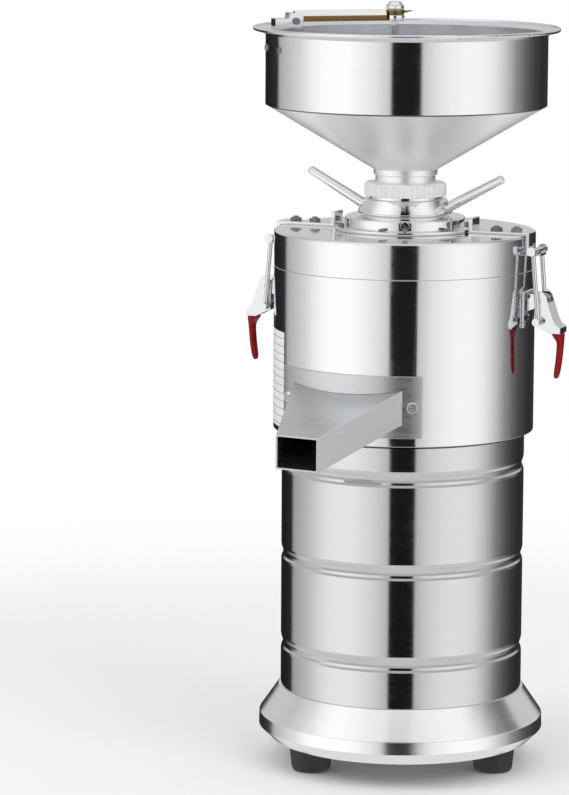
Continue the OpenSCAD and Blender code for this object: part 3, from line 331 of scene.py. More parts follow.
# Fine lines that run round the machine's axis, on walls, cones and flat discs alike
def buildTurnedGrain():
    group, first, last = startGroup(
        "turnedGrain",
        [("Vector", "NodeSocketVector", None), ("Lines", "NodeSocketFloat", 1500.0),
         ("Wander", "NodeSocketFloat", turnedSet["wander"])],
        toneAndHeight)
    east, north, up = axesOf(group, first.outputs["Vector"])
    radius = maths(group, "SQRT", maths(group, "ADD", maths(group, "MULTIPLY", east, east),
                                        maths(group, "MULTIPLY", north, north)))
    across = maths(group, "ADD", up, maths(group, "MULTIPLY", radius, turnedSet["slope"]))
    joined = addNode(group, "ShaderNodeCombineXYZ")
    for i, (value, label) in enumerate(((east, "Wander"), (north, "Wander"), (across, "Lines"))):
        link(group, maths(group, "MULTIPLY", value, first.outputs[label]), joined.inputs[i])
    grainOutputs(group, joined.outputs[0], turnedSet, last)
    return group


# Fine lines along one direction, set by how far the pattern is stretched on each axis
def buildStraightGrain():
    group, first, last = startGroup(
        "straightGrain",
        [("Vector", "NodeSocketVector", None), ("Stretch", "NodeSocketVector", (900.0, 20.0, 900.0))],
        toneAndHeight)
    scaled = addNode(group, "ShaderNodeVectorMath", operation="MULTIPLY")
    link(group, first.outputs["Vector"], scaled.inputs[0])
    link(group, first.outputs["Stretch"], scaled.inputs[1])
    grainOutputs(group, scaled.outputs[0], straightSet, last)
    return group


# Faint handling marks: soft cloudy patches with a few clearer ones in them
def buildSmudges():
    group, first, last = startGroup(
        "handlingMarks",
        [("Vector", "NodeSocketVector", None), ("Scale", "NodeSocketFloat", smudgeSet["scale"])],
        [("Mask", "NodeSocketFloat")])
    vector, scale = first.outputs["Vector"], first.outputs["Scale"]
    broad = scaledNoise(group, vector, scale, *smudgeSet["broad"])
    narrow = maths(group, "MULTIPLY", scale, smudgeSet["finer"])
    close = scaledNoise(group, vector, narrow, *smudgeSet["close"])
    mask = maths(group, "MULTIPLY", softStep(group, broad, *smudgeSet["broadFrom"]),
                 softStep(group, close, *smudgeSet["closeFrom"]))
    link(group, mask, last.inputs["Mask"])
    return group


# Fine speckle of a moulded or sintered surface
def buildSpeckle():
    group, first, last = startGroup(
        "speckle",
        [("Vector", "NodeSocketVector", None), ("Scale", "NodeSocketFloat", 900.0)],
        toneAndHeight)
    vector, scale = first.outputs["Vector"], first.outputs["Scale"]
    fine = scaledNoise(group, vector, scale, *speckleSet["fine"])
    wide = maths(group, "MULTIPLY", scale, speckleSet["coarser"])
    broad = scaledNoise(group, vector, wide, *speckleSet["broad"])
    link(group, blendValues(group, speckleSet["blend"], fine, broad), last.inputs["Tone"])
    link(group, fine, last.inputs["Height"])
    return group


turnedGrain = buildTurnedGrain()
straightGrain = buildStraightGrain()
handlingMarks = buildSmudges()
speckle = buildSpeckle()


def placeGroup(tree, group, vector, **values):
    made = addNode(tree, "ShaderNodeGroup", node_tree=group)
    link(tree, vector, made.inputs["Vector"])
    for name, value in values.items():
        made.inputs[name].default_value = value
    return made


# The middle of a pattern's tones, which is spread over a finish's span of roughness
toneSpan = (0.3, 0.7)


def spreadTone(tree, tone, low, high):
    made = addNode(tree, "ShaderNodeMapRange")
    link(tree, tone, made.inputs["Value"])
    for label, value in zip(("From Min", "From Max", "To Min", "To Max"), (*toneSpan, low, high)):
        made.inputs[label].default_value = value
    return made.outputs["Result"]


# Heights come in metres, so the bump takes them as they are
def bumpFrom(tree, height, shader):
    made = addNode(tree, "ShaderNodeBump")
    made.inputs["Strength"].default_value = 1
    made.inputs["Distance"].default_value = 1
    link(tree, height, made.inputs["Height"])
    link(tree, made.outputs[0], shader.inputs["Normal"])


# Core is the share of a painted shade line's width where it is darkest
shadeLineSet = {"colour": (0.07, 0.07, 0.075), "core": 0.6}


# A painted shade line on walls between two heights, in metres: painted darkening where shade falls under a
# rim or in a crease
def paintedShadeLine(tree, place, colour, low, high):
    middle, half = (low + high) / 2, (high - low) / 2
    offset = maths(tree, "ABSOLUTE", maths(tree, "SUBTRACT", axesOf(tree, place)[2], middle))
    return blendColours(tree, softStep(tree, offset, half, half * shadeLineSet["core"]), colour, shadeLineSet["colour"])


# One where a surface faces the machine's axis, nothing where it faces out
def innerSide(tree):
    place = addNode(tree, "ShaderNodeTexCoord")
    flat = addNode(tree, "ShaderNodeVectorMath", operation="MULTIPLY")
    link(tree, place.outputs["Object"], flat.inputs[0])
    flat.inputs[1].default_value = (1, 1, 0)
    along = addNode(tree, "ShaderNodeVectorMath", operation="DOT_PRODUCT")
    link(tree, flat.outputs[0], along.inputs[0])
    link(tree, place.outputs["Normal"], along.inputs[1])
    return maths(tree, "LESS_THAN", along.outputs["Value"], 0)


# The faint wave that every sheet has: its height in metres, and its noise
sheetWave = {"height": 0.00002, "noise": (7.0, 1.0, 0.4)}


# Metal sheet or turned metal: grain lines, straight where a stretch is given and otherwise round the axis,
# and handling marks in the gloss; where a shade line is given, painted shade darkens a band of the colour
def metal(name, low, high, rough, lines=1500.0, stretch=None, depth=0.000004, marks=0.05, body=1.0,
          shadeLine=None, inside=None):
    material, tree, shader = startMaterial(name)
    shader.inputs["Metallic"].default_value = body
    place = addNode(tree, "ShaderNodeTexCoord").outputs["Object"]
    if stretch:
        pattern = placeGroup(tree, straightGrain, place, Stretch=stretch)
    else:
        pattern = placeGroup(tree, turnedGrain, place, Lines=lines)
    tone = pattern.outputs["Tone"]
    colour = blendColours(tree, tone, low, high)
    # where a band is given, painted shade darkens the colour in it
    if shadeLine:
        colour = paintedShadeLine(tree, place, colour, *shadeLine)
    link(tree, colour, shader.inputs["Base Color"])
    patches = placeGroup(tree, handlingMarks, place)
    spread = maths(tree, "ADD", spreadTone(tree, tone, *rough),
                  maths(tree, "MULTIPLY", patches.outputs["Mask"], marks))
    if inside:
        facing = innerSide(tree)
        spread = maths(tree, "ADD", spread, maths(tree, "MULTIPLY", facing, inside["rougher"]))
        link(tree, blendValues(tree, facing, body, inside["body"]), shader.inputs["Metallic"])
    link(tree, spread, shader.inputs["Roughness"])
    swell = scaledNoise(tree, place, *sheetWave["noise"])
    height = maths(tree, "ADD", maths(tree, "MULTIPLY", pattern.outputs["Height"], depth),
                   maths(tree, "MULTIPLY", swell, sheetWave["height"]))
    bumpFrom(tree, height, shader)
    return material


# How far light goes into a milky plastic is in metres
mouldedSet = {"marks": 0.08, "markScale": 30.0, "lightDepth": 0.002}


# Plastic, rubber, seal or stone: speckle in the tone and the gloss, and handling marks
def moulded(name, low, high, rough, grit=900.0, depth=0.00002, milky=0.0, gloss=0.5):
    material, tree, shader = startMaterial(name)
    shader.inputs["Specular IOR Level"].default_value = gloss
    if milky:
        shader.inputs["Subsurface Weight"].default_value = milky
        shader.inputs["Subsurface Scale"].default_value = mouldedSet["lightDepth"]
    place = addNode(tree, "ShaderNodeTexCoord").outputs["Object"]
    pattern = placeGroup(tree, speckle, place, Scale=grit)
    patches = placeGroup(tree, handlingMarks, place, Scale=mouldedSet["markScale"])
    link(tree, blendColours(tree, pattern.outputs["Tone"], low, high), shader.inputs["Base Color"])
    spread = maths(tree, "ADD", spreadTone(tree, pattern.outputs["Tone"], *rough),
                   maths(tree, "MULTIPLY", patches.outputs["Mask"], mouldedSet["marks"]))
    link(tree, spread, shader.inputs["Roughness"])
    bumpFrom(tree, maths(tree, "MULTIPLY", pattern.outputs["Height"], depth), shader)
    return material


# Bronze bar with a painted highlight: its upward faces are painted pale
bronze = {"low": (0.17, 0.095, 0.035), "high": (0.31, 0.19, 0.09), "rough": (0.2, 0.34),
          "stretch": (40.0, 40.0, 900.0), "highlightFrom": (0.15, 0.5), "paintedHighlight": (0.86, 0.84, 0.8)}


def highlightedBar(name):
    material = metal(name, bronze["low"], bronze["high"], bronze["rough"], stretch=bronze["stretch"])
    tree = material.node_tree
    base = tree.nodes["Principled BSDF"].inputs["Base Color"]
    colour = base.links[0].from_socket
    place = addNode(tree, "ShaderNodeTexCoord")
    # painted highlight: faces that turn upward are painted pale, where they would catch the bright ceiling
    paintedHighlight = softStep(tree, axesOf(tree, place.outputs["Normal"])[2], *bronze["highlightFrom"])
    link(tree, blendColours(tree, paintedHighlight, colour, bronze["paintedHighlight"]), base)
    return material


# Bare label on the chamber's left wall: degrees about the axis, and millimetres from the axis and the floor
labelSet = {"from": -167.0, "to": -127.5, "low": 319.0, "high": 407.0, "radius": 120.0, "thick": 0.18,
            "sunk": 0.05, "columns": 40, "corner": 40}
# Its ruled lines, in metres, and its finish
ruled = {"pitch": 0.0072, "line": 0.00035, "inset": 0.003, "paperLow": (0.82, 0.83, 0.83),
         "paperHigh": (0.88, 0.88, 0.88), "ink": (0.3, 0.31, 0.33), "grit": 700.0, "rough": (0.32, 0.44),
         "depth": 0.000004}


def labelSheet(name):
    material, tree, shader = startMaterial(name)
    place = addNode(tree, "ShaderNodeTexCoord").outputs["Object"]
    up = axesOf(tree, place)[2]
    low, high, inset = labelSet["low"] / 1000, labelSet["high"] / 1000, ruled["inset"]
    phase = maths(tree, "PINGPONG", maths(tree, "SUBTRACT", up, low + inset), ruled["pitch"] / 2)
    line = maths(tree, "LESS_THAN", phase, ruled["line"])
    within = maths(tree, "MULTIPLY", maths(tree, "GREATER_THAN", up, low + inset / 2),
                   maths(tree, "LESS_THAN", up, high - inset / 2))
    pattern = placeGroup(tree, speckle, place, Scale=ruled["grit"])
    paper = blendColours(tree, pattern.outputs["Tone"], ruled["paperLow"], ruled["paperHigh"])
    sheet = blendColours(tree, maths(tree, "MULTIPLY", line, within), paper, ruled["ink"])
    link(tree, sheet, shader.inputs["Base Color"])
    link(tree, spreadTone(tree, pattern.outputs["Tone"], *ruled["rough"]), shader.inputs["Roughness"])
    bumpFrom(tree, maths(tree, "MULTIPLY", pattern.outputs["Height"], ruled["depth"]), shader)
    return material


materials = {
    "labelPaper": labelSheet("labelPaper"),
    "mirrorSheet": metal("mirrorSheet", (0.76, 0.77, 0.79), (0.85, 0.86, 0.87), (0.05, 0.11)),
    "hopperSheet": metal("hopperSheet", (0.76, 0.77, 0.79), (0.85, 0.86, 0.87), (0.05, 0.11),
                         inside={"body": 0.88, "rougher": 0.1}),
    # the barrel's band just under the chamber shell's rim is a painted shadow of the overhanging rim
    "barrelSheet": metal("barrelSheet", (0.59, 0.60, 0.61), (0.67, 0.68, 0.69), (0.05, 0.11),
                         shadeLine=(0.3108, 0.3144)),
    # the cone's band at the hopper bowl's lower corner is a painted shade line in the crease
    "coneSatin": metal("coneSatin", (0.90, 0.905, 0.91), (0.97, 0.97, 0.97), (0.26, 0.36), body=0.7,
                       shadeLine=(0.6100, 0.6124)),
    "baseSheet": metal("baseSheet", (0.82, 0.83, 0.85), (0.92, 0.92, 0.93), (0.12, 0.2), lines=900.0),
    "brightCast": metal("brightCast", (0.74, 0.75, 0.76), (0.87, 0.87, 0.88), (0.03, 0.08)),
    "satinChute": metal("satinChute", (0.54, 0.55, 0.56), (0.68, 0.69, 0.70), (0.24, 0.32),
                        stretch=(60.0, 60.0, 700.0), depth=0.0000015, marks=0.02),
    "brushedSteel": metal("brushedSteel", (0.62, 0.63, 0.65), (0.76, 0.77, 0.78), (0.16, 0.28)),
    "screwSteel": metal("screwSteel", (0.86, 0.87, 0.88), (0.95, 0.95, 0.95), (0.2, 0.3)),
    "bentSteel": metal("bentSteel", (0.66, 0.67, 0.69), (0.80, 0.81, 0.82), (0.05, 0.12),
                       stretch=(500.0, 500.0, 40.0)),
    "darkSteel": metal("darkSteel", (0.20, 0.205, 0.215), (0.32, 0.325, 0.335), (0.26, 0.4)),
    "castAlloy": metal("castAlloy", (0.5, 0.51, 0.52), (0.62, 0.63, 0.64), (0.4, 0.55), depth=0.00002),
    "bronzeBar": highlightedBar("bronzeBar"),
    "copperWire": metal("copperWire", (0.55, 0.24, 0.1), (0.72, 0.36, 0.17), (0.25, 0.4)),
    "blackRubber": moulded("blackRubber", (0.012, 0.012, 0.013), (0.028, 0.028, 0.03), (0.5, 0.68)),
    "blackPlastic": moulded("blackPlastic", (0.018, 0.018, 0.02), (0.032, 0.032, 0.035), (0.3, 0.42)),
    "whitePlastic": moulded("whitePlastic", (0.9, 0.9, 0.89), (0.94, 0.94, 0.93), (0.26, 0.36),
                            grit=500.0, milky=0.08),
    "whiteSeal": moulded("whiteSeal", (0.78, 0.78, 0.76), (0.86, 0.86, 0.84), (0.42, 0.55)),
    "redDip": moulded("redDip", (0.2, 0.0015, 0.002), (0.28, 0.003, 0.004), (0.24, 0.34),
                      grit=160.0, gloss=0.22),
    "redPlastic": moulded("redPlastic", (0.42, 0.012, 0.012), (0.52, 0.02, 0.02), (0.28, 0.38)),
    "millstone": moulded("millstone", (0.3, 0.285, 0.26), (0.52, 0.5, 0.46), (0.75, 0.9),
                         grit=700.0, depth=0.0002),
}

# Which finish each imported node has
finishes = {
    "mirrorSheet": ["chamber_shell", "lid"],
    "hopperSheet": ["hopper"],
    "barrelSheet": ["motor_barrel"],
    "baseSheet": ["base_skirt"],
    "brightCast": ["hub_ring", "adjusting_collar", "handle_bars", "collar_retainer", "feed_knob",
                   "lock_nut", "regulating_rod", "stone_holder"],
    "satinChute": ["chute", "chute_flange"],
    "coneSatin": ["hopper_cone"],
    "bentSteel": ["strap_right", "strap_left", "lever_right", "lever_left", "arm_bracket",
                  "latch_base_right", "latch_base_left", "bail_right", "bail_left", "strap_bolts",
                  "chute_screws", "latch_pins", "hub_screws", "guide_pins"],
    "brushedSteel": ["motor_shaft", "wiper", "stone_carrier", "stone_nut", "bearings"],
    "darkSteel": ["base_plate", "foot_screws", "tie_bolts", "stator_core", "rotor_core",
                  "stone_screws", "latch_rivets", "bracket_screw"],
    "castAlloy": ["lower_cap", "upper_cap", "chamber_floor"],
    "blackRubber": ["rubber_feet", "shaft_seal"],
    "whiteSeal": ["lid_gasket"],
    "blackPlastic": ["switch_frame", "cord_gland", "cooling_fan"],
    "copperWire": ["stator_windings"],
    "millstone": ["upper_stone", "lower_stone"],
    "whitePlastic": ["union_nut"],
    "bronzeBar": ["feed_arm"],
    "redDip": ["grip_right", "grip_left"],
    "redPlastic": ["switch_rocker"],
}


def dress(node, material):
    slots = nodes[node].data.materials
    if len(slots):
        for i in range(len(slots)):
            slots[i] = material
    else:
        slots.append(material)


for finish, members in finishes.items():
    for node in members:
        dress(node, materials[finish])
print("materials:", len(materials), "on", sum(map(len, finishes.values())), "nodes")

bodyOf = {node: body_of(thing)[0] for node, thing in nodes.items()}


def newPiece(name, mesh, finish, body, slot, *stands):
    mesh.materials.clear()
    mesh.materials.append(materials[finish])
    piece = bpy.data.objects.new(name, mesh)
    bpy.context.scene.collection.objects.link(piece)
    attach(piece, body)
    if stands:
        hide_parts(*stands)


def workObject(name, mesh):
    work = bpy.data.objects.new(name, mesh)
    bpy.context.scene.collection.objects.link(work)
    return work


def settled(work):
    # the evaluated mesh of an object that only lends its modifiers
    graph = bpy.context.evaluated_depsgraph_get()
    mesh = bpy.data.meshes.new_from_object(work.evaluated_get(graph))
    bpy.data.objects.remove(work)
    return mesh


# Folded, cast and moulded nodes: a copy with its corners eased stands for each. A row holds the copy's
# name, its node, the width of the eased corner in millimetres, the finish and the slot. The merge distance
# is in metres.
easing = {"merge": 2e-6, "flat": math.radians(0.6), "corner": math.radians(28), "steps": 2, "weight": 100}
corners = [
    ("foldedChute", "chute", 0.8, "satinChute", "brushed_steel"),
    ("chuteCollar", "chute_flange", 0.45, "satinChute", "brushed_steel"),
    ("lidSheet", "lid", 0.6, "mirrorSheet", "polished_steel"),
    ("shellSheet", "chamber_shell", 0.5, "mirrorSheet", "polished_steel"),
    ("skirtSheet", "base_skirt", 0.6, "baseSheet", "polished_steel"),
    ("hubRing", "hub_ring", 0.6, "brightCast", "brushed_steel"),
    ("collarRing", "adjusting_collar", 0.8, "brightCast", "polished_steel"),
    ("catchStrapRight", "strap_right", 0.6, "bentSteel", "polished_steel"),
    ("catchStrapLeft", "strap_left", 0.6, "bentSteel", "polished_steel"),
    ("latchPlateRight", "latch_base_right", 0.4, "bentSteel", "brushed_steel"),
    ("latchPlateLeft", "latch_base_left", 0.4, "bentSteel", "brushed_steel"),
    ("foldedLeverRight", "lever_right", 0.4, "bentSteel", "polished_steel"),
    ("foldedLeverLeft", "lever_left", 0.4, "bentSteel", "polished_steel"),
    ("armBracket", "arm_bracket", 0.5, "bentSteel", "polished_steel"),
    ("feedBar", "feed_arm", 0.6, "bronzeBar", "bronze_bar"),
    ("unionNut", "union_nut", 0.5, "whitePlastic", "white_plastic"),
    ("baseFeet", "rubber_feet", 1.6, "blackRubber", "black_rubber"),
    ("switchBezel", "switch_frame", 0.8, "blackPlastic", "black_plastic"),
    ("switchRocker", "switch_rocker", 0.7, "redPlastic", "red_plastic"),
    ("feedKnob", "feed_knob", 0.6, "brightCast", "polished_steel"),
    ("lockNut", "lock_nut", 0.5, "brightCast", "polished_steel"),
]


def easeCorners(name, node, width, finish, slot):
    bm = bmesh.new()
    bm.from_mesh(nodes[node].data)
    bmesh.ops.remove_doubles(bm, verts=bm.verts, dist=easing["merge"])
    bmesh.ops.dissolve_limit(bm, angle_limit=easing["flat"], verts=bm.verts, edges=bm.edges)
    mesh = meshFrom(bm, name)
    mesh.shade_smooth()
    work = workObject(name + "Work", mesh)
    bevel = work.modifiers.new("corner", "BEVEL")
    bevel.width = width / 1000
    bevel.segments = easing["steps"]
    bevel.limit_method = "ANGLE"
    bevel.angle_limit = easing["corner"]
    bevel.use_clamp_overlap = False
    weigh = work.modifiers.new("evenShade", "WEIGHTED_NORMAL")
    weigh.weight = easing["weight"]
    weigh.keep_sharp = False
    newPiece(name, settled(work), finish, bodyOf[node], slot, node)


for row in corners:
    easeCorners(*row)
print("corners eased on", len(corners), "nodes")


def joinRings(bm, low, high):
    for i in range(len(low)):
        j = (i + 1) % len(low)
        bm.faces.new((low[i], low[j], high[j], high[i]))


def ringLoft(rings, name):
    # closed rings of points joined one to the next, ends filled
    bm = bmesh.new()
    rows = [[bm.verts.new(point) for point in ring] for ring in rings]
    for low, high in zip(rows, rows[1:]):
        joinRings(bm, low, high)
    bm.faces.new(list(reversed(rows[0])))
    bm.faces.new(rows[-1])
    bmesh.ops.recalc_face_normals(bm, faces=bm.faces)
    mesh = meshFrom(bm, name)
    mesh.shade_smooth()
    return mesh


# The latches and their straps stand this many degrees from +X
latchTurn = 7.0

# Dipped vinyl grips, in millimetres from the lever's pivot: height, inner edge, outer edge, half width
grips = {
    "pivotOut": 133.0, "pivotUp": 438.5, "around": 36, "squareness": 2.7, "rows": 44,
    "profile": [(-29.0, 12.3, 20.3, 8.9), (-29.6, 11.6, 21.0, 9.5), (-31.0, 12.0, 21.2, 9.4),
                (-33.5, 13.4, 21.3, 7.7), (-36.0, 14.9, 21.4, 5.9), (-39.0, 15.5, 21.4, 4.7),
                (-43.0, 15.4, 21.1, 4.5), (-49.0, 15.0, 20.5, 4.6), (-55.0, 14.5, 19.9, 4.6),
                (-61.0, 13.7, 19.0, 4.6), (-65.5, 13.1, 18.2, 4.4), (-68.5, 13.0, 17.3, 3.8),
                (-70.2, 13.4, 16.6, 2.8), (-71.0, 14.3, 15.7, 1.2)],
}


def superPoint(angle, power):
    # a point of a rounded square that reaches 1 each way
    c, s = math.cos(angle), math.sin(angle)
    return (math.copysign(abs(c) ** (2 / power), c), math.copysign(abs(s) ** (2 / power), s))


def dippedGrip(name, node, side):
    heights, *edges = zip(*grips["profile"])
    depths = [-height for height in heights]
    levels = np.interp(np.linspace(0, 1, grips["rows"]), np.linspace(0, 1, len(heights)), heights)
    turn = math.radians(latchTurn + (0 if side > 0 else 180))
    rings = []
    for z in levels:
        inner, outer, half = (np.interp(-z, depths, edge) for edge in edges)
        ring = []
        for i in range(grips["around"]):
            a, b = superPoint(2 * math.pi * i / grips["around"], grips["squareness"])
            x = grips["pivotOut"] + (inner + outer) / 2 + a * (outer - inner) / 2
            y = b * half
            ring.append(((x * math.cos(turn) - y * math.sin(turn)) / 1000,
                         (x * math.sin(turn) + y * math.cos(turn)) / 1000, (grips["pivotUp"] + z) / 1000))
        rings.append(ring)
    newPiece(name, ringLoft(rings, name), "redDip", bodyOf[node], "red_grip", node)


dippedGrip("dippedGripRight", "grip_right", 1)
dippedGrip("dippedGripLeft", "grip_left", -1)
print("grips dipped")


def bareLabel():
    rings = []
    for i in range(labelSet["columns"] + 1):
        angle = math.radians(labelSet["from"] + (labelSet["to"] - labelSet["from"]) * i / labelSet["columns"])
        ring = []
        for layer, edge in ((0, "low"), (1, "low"), (1, "high"), (0, "high")):
            reach = (labelSet["radius"] - labelSet["sunk"] + layer * labelSet["thick"]) / 1000
            ring.append((reach * math.cos(angle), reach * math.sin(angle), labelSet[edge] / 1000))
        rings.append(ring)
    mesh = ringLoft(rings, "bareLabel")
    mesh.set_sharp_from_angle(angle=math.radians(labelSet["corner"]))
    newPiece("bareLabel", mesh, "labelPaper", "frame", "white_plastic")


bareLabel()
print("label set on")

# On and off marks on the rocker's face, in millimetres about its axle and degrees. Both are outlines with
# an opening; the bar's slit is too fine to see.
rockerMarks = {"axleOut": 111.0, "axleUp": 149.0, "turn": -8.0, "at": 5.0, "face": 3.86, "slope": 8.9,
               "bar": (0.9, 3.6), "slit": (0.1, 2.8), "ring": (1.2, 1.75), "proud": 0.18, "root": 0.3,
               "around": 40}


def rockerMark(name, side, outer, inner):
    # the outline stood on the sloping face, with a thin wall all round
    top, root = rockerMarks["proud"], -rockerMarks["root"]
    bm = bmesh.new()
    rings = [[bm.verts.new((x, depth, z)) for x, z in points]
             for points, depth in ((outer, root), (outer, top), (inner, top), (inner, root))]
    for low, high in zip(rings, rings[1:] + rings[:1]):
        joinRings(bm, low, high)
    tilt = Matrix.Rotation(math.radians(-side * rockerMarks["slope"]), 4, "X")
    stand = Matrix.Translation((0, rockerMarks["face"], side * rockerMarks["at"])) @ tilt
    turn = Matrix.Rotation(math.radians(rockerMarks["turn"]), 4, "X")
    axle = Matrix.Translation((0, rockerMarks["axleOut"], rockerMarks["axleUp"]))
    bm.transform(Matrix.Scale(0.001, 4) @ axle @ turn @ stand)
    bmesh.ops.recalc_face_normals(bm, faces=bm.faces)
    newPiece(name, meshFrom(bm, name), "whitePlastic", bodyOf["switch_rocker"], "white_plastic")


def rectangle(wide, tall):
    return [(-wide / 2, -tall / 2), (wide / 2, -tall / 2), (wide / 2, tall / 2), (-wide / 2, tall / 2)]


def circle(radius):
    turns = [2 * math.pi * i / rockerMarks["around"] for i in range(rockerMarks["around"])]
    return [(radius * math.cos(turn), radius * math.sin(turn)) for turn in turns]


rockerMark("onMark", 1, rectangle(*rockerMarks["bar"]), rectangle(*rockerMarks["slit"]))
rockerMark("offMark", -1, circle(rockerMarks["ring"][1]), circle(rockerMarks["ring"][0]))
print("rocker marked")

# Screws, nuts and bolt ends: one tree of nodes makes each kind and sets it on its places. These are the
# sizes it has where a fastener gives none, in metres. Shanks and bolt ends have shankSides, and an end
# tapers to that share of its width.
fastenerSizes = {"Head Radius": 0.005, "Top Radius": 0.004, "Head Height": 0.002, "Shank Radius": 0.002,
                 "Shank Length": 0.004, "Slot Length": 0.004, "Slot Width": 0.001, "Slot Depth": 0.001,
                 "End Radius": 0.0, "End Height": 0.0001}
fastenerSet = {"sides": 32, "shankSides": 24, "taper": 0.8, "corner": 32}


def coneOf(tree, low, high, tall, sides):
    cone = addNode(tree, "GeometryNodeMeshCone")
    for value, socket in ((low, "Radius Bottom"), (high, "Radius Top"), (tall, "Depth"), (sides, "Vertices")):
        feed(tree, value, cone.inputs[socket])
    return cone.outputs["Mesh"]


def lifted(tree, geometry, height):
    move = addNode(tree, "GeometryNodeTransform")
    place = addNode(tree, "ShaderNodeCombineXYZ")
    link(tree, height, place.inputs[2])
    link(tree, geometry, move.inputs["Geometry"])
    link(tree, place.outputs[0], move.inputs["Translation"])
    return move.outputs["Geometry"]


def carved(tree, shape, cutter):
    made = addNode(tree, "GeometryNodeMeshBoolean", operation="DIFFERENCE")
    link(tree, shape, made.inputs[0])
    link(tree, cutter, made.inputs[1])
    return made.outputs[0]


# A tapered head with a cross cut into its top
def crossHead(tree, given):
    tall = given["Head Height"]
    head = coneOf(tree, given["Head Radius"], given["Top Radius"], tall, given["Sides"])
    cutter = addNode(tree, "GeometryNodeMeshCube")
    size = addNode(tree, "ShaderNodeCombineXYZ")
    for i, label in enumerate(("Slot Length", "Slot Width", "Slot Depth")):
        link(tree, given[label], size.inputs[i])
    link(tree, size.outputs[0], cutter.inputs["Size"])
    crossed = addNode(tree, "GeometryNodeTransform")
    link(tree, cutter.outputs["Mesh"], crossed.inputs["Geometry"])
    crossed.inputs["Rotation"].default_value = (0, 0, math.radians(90))
    once = carved(tree, head, lifted(tree, cutter.outputs["Mesh"], tall))
    return carved(tree, once, lifted(tree, crossed.outputs["Geometry"], tall))


def buildFastenerTree():
    tree = bpy.data.node_groups.new("fasteners", "GeometryNodeTree")
    inputs = [("Geometry", "NodeSocketGeometry", None)]
    inputs += [(label, "NodeSocketFloat", value) for label, value in fastenerSizes.items()]
    inputs += [("Sides", "NodeSocketInt", fastenerSet["sides"]), ("Finish", "NodeSocketMaterial", None)]
    for label, kind, value in inputs:
        socket = tree.interface.new_socket(label, in_out="INPUT", socket_type=kind)
        if value is not None:
            socket.default_value = value
    tree.interface.new_socket("Geometry", in_out="OUTPUT", socket_type="NodeSocketGeometry")
    given = tree.nodes.new("NodeGroupInput").outputs
    last = tree.nodes.new("NodeGroupOutput")
    head = crossHead(tree, given)
    sides = fastenerSet["shankSides"]
    shank = coneOf(tree, given["Shank Radius"], given["Shank Radius"], given["Shank Length"], sides)
    sunk = lifted(tree, shank, maths(tree, "MULTIPLY", given["Shank Length"], -1))
    tip = maths(tree, "MULTIPLY", given["End Radius"], fastenerSet["taper"])
    end = coneOf(tree, given["End Radius"], tip, given["End Height"], sides)
    joined = addNode(tree, "GeometryNodeJoinGeometry")
    for part in (head, sunk, lifted(tree, end, given["Head Height"])):
        link(tree, part, joined.inputs[0])
    turn = addNode(tree, "GeometryNodeInputNamedAttribute", data_type="FLOAT_VECTOR")
    turn.inputs["Name"].default_value = "turn"
    spread = addNode(tree, "GeometryNodeInstanceOnPoints")
    link(tree, given["Geometry"], spread.inputs["Points"])
    link(tree, joined.outputs[0], spread.inputs["Instance"])
    link(tree, turn.outputs[0], spread.inputs["Rotation"])
    real = addNode(tree, "GeometryNodeRealizeInstances")
    link(tree, spread.outputs[0], real.inputs[0])
    dressed = addNode(tree, "GeometryNodeSetMaterial")
    link(tree, real.outputs[0], dressed.inputs["Geometry"])
    link(tree, given["Finish"], dressed.inputs["Material"])
    link(tree, dressed.outputs[0], last.inputs[0])
    return tree


fastenerTree = buildFastenerTree()


def around(angle, radius, twist, height, aim):
    # a place about the axis, facing "out" or "up", with its own twist; degrees and millimetres
    side = math.radians(angle)
    where = Vector((radius * math.cos(side), radius * math.sin(side), height)) / 1000
    facing = Matrix.Rotation(side, 3, "Z")
    if aim == "out":
        facing = facing @ Matrix.Rotation(math.radians(90), 3, "Y")
    return where, (facing @ Matrix.Rotation(math.radians(twist), 3, "Z")).to_euler()


def setFasteners(name, places, sizes, finish, slot, node):
    mesh = bpy.data.meshes.new(name)
    mesh.from_pydata([where for where, turn in places], [], [])
    turns = mesh.attributes.new("turn", "FLOAT_VECTOR", "POINT")
    for i, (where, turn) in enumerate(places):
        turns.data[i].vector = turn
    work = workObject(name + "Work", mesh)
    maker = work.modifiers.new("fasteners", "NODES")
    maker.node_group = fastenerTree
    values = {**sizes, "Finish": materials[finish]}
    for socket in fastenerTree.interface.items_tree:
        if socket.in_out == "INPUT" and socket.name in values:
            maker[socket.identifier] = values[socket.name]
    made = settled(work)
    made.shade_smooth()
    made.set_sharp_from_angle(angle=math.radians(fastenerSet["corner"]))
    newPiece(name, made, finish, "frame", slot, node)


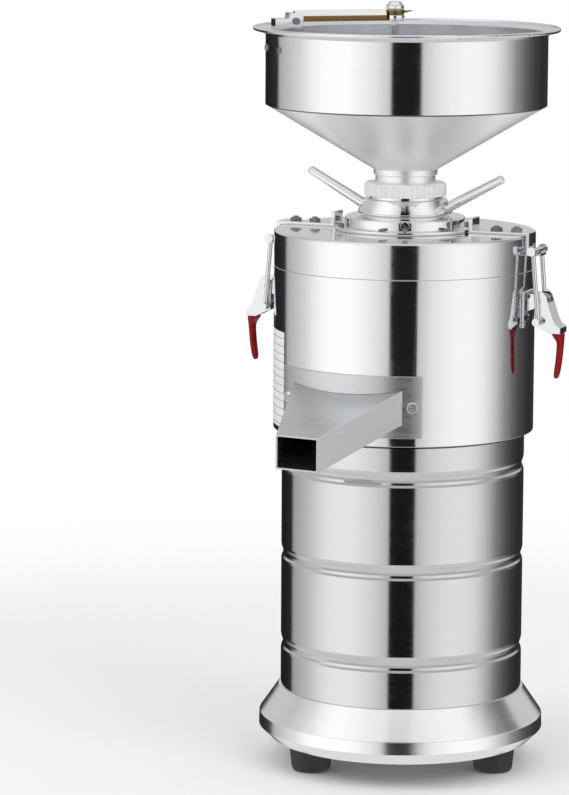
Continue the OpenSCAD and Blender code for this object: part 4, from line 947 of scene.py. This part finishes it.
# A place is an angle about the axis, a radius and a twist, in degrees and millimetres, and so is the height.
# The fastener's own sizes are in metres.
screws = [
    {"name": "chuteScrews", "node": "chute_screws", "finish": "screwSteel", "slot": "brushed_steel",
     "aim": "out", "height": 350.0, "places": [(-121.3, 121.8, 20), (-58.7, 121.8, 52)],
     "sizes": {"Head Radius": 0.0052, "Top Radius": 0.0041, "Head Height": 0.0022,
               "Shank Radius": 0.0019, "Shank Length": 0.0055, "Slot Length": 0.0052,
               "Slot Width": 0.0011, "Slot Depth": 0.0026}},
    {"name": "hubScrews", "node": "hub_screws", "finish": "darkSteel", "slot": "dark_steel",
     "aim": "up", "height": 500.5,
     "places": [(37 + 60 * i, 59.5, twist) for i, twist in enumerate((0, 25, 48, 12, 33, 60))],
     "sizes": {"Head Radius": 0.0032, "Top Radius": 0.0030, "Head Height": 0.0024,
               "Shank Radius": 0.0018, "Shank Length": 0.005, "Slot Length": 0.0056,
               "Slot Width": 0.0009, "Slot Depth": 0.002, "Sides": 28}},
    {"name": "lockScrew", "node": "hub_screws", "finish": "bentSteel", "slot": "dark_steel",
     "aim": "out", "height": 505.25, "places": [(-62.5, 55.0, 35)],
     "sizes": {"Head Radius": 0.0042, "Top Radius": 0.0039, "Head Height": 0.0034,
               "Shank Radius": 0.0018, "Shank Length": 0.012, "Slot Length": 0.0042,
               "Slot Width": 0.0012, "Slot Depth": 0.0036, "Sides": 32}},
    {"name": "strapNuts", "node": "strap_bolts", "finish": "darkSteel", "slot": "brushed_steel",
     "aim": "up", "height": 500.0,
     "places": [(latchTurn, 88.98, 14), (latchTurn, 108.01, 41),
                (latchTurn + 180, 88.98, 3), (latchTurn + 180, 108.01, 27)],
     "sizes": {"Head Radius": 0.0056, "Top Radius": 0.0050, "Head Height": 0.0030,
               "Shank Radius": 0.0028, "Shank Length": 0.005, "Slot Length": 0.0001,
               "Slot Width": 0.0001, "Slot Depth": 0.0001, "End Radius": 0.0029,
               "End Height": 0.0015, "Sides": 6}},
]
for row in screws:
    places = [around(*place, row["height"], row["aim"]) for place in row["places"]]
    setFasteners(row["name"], places, row["sizes"], row["finish"], row["slot"], row["node"])
print("fasteners set")
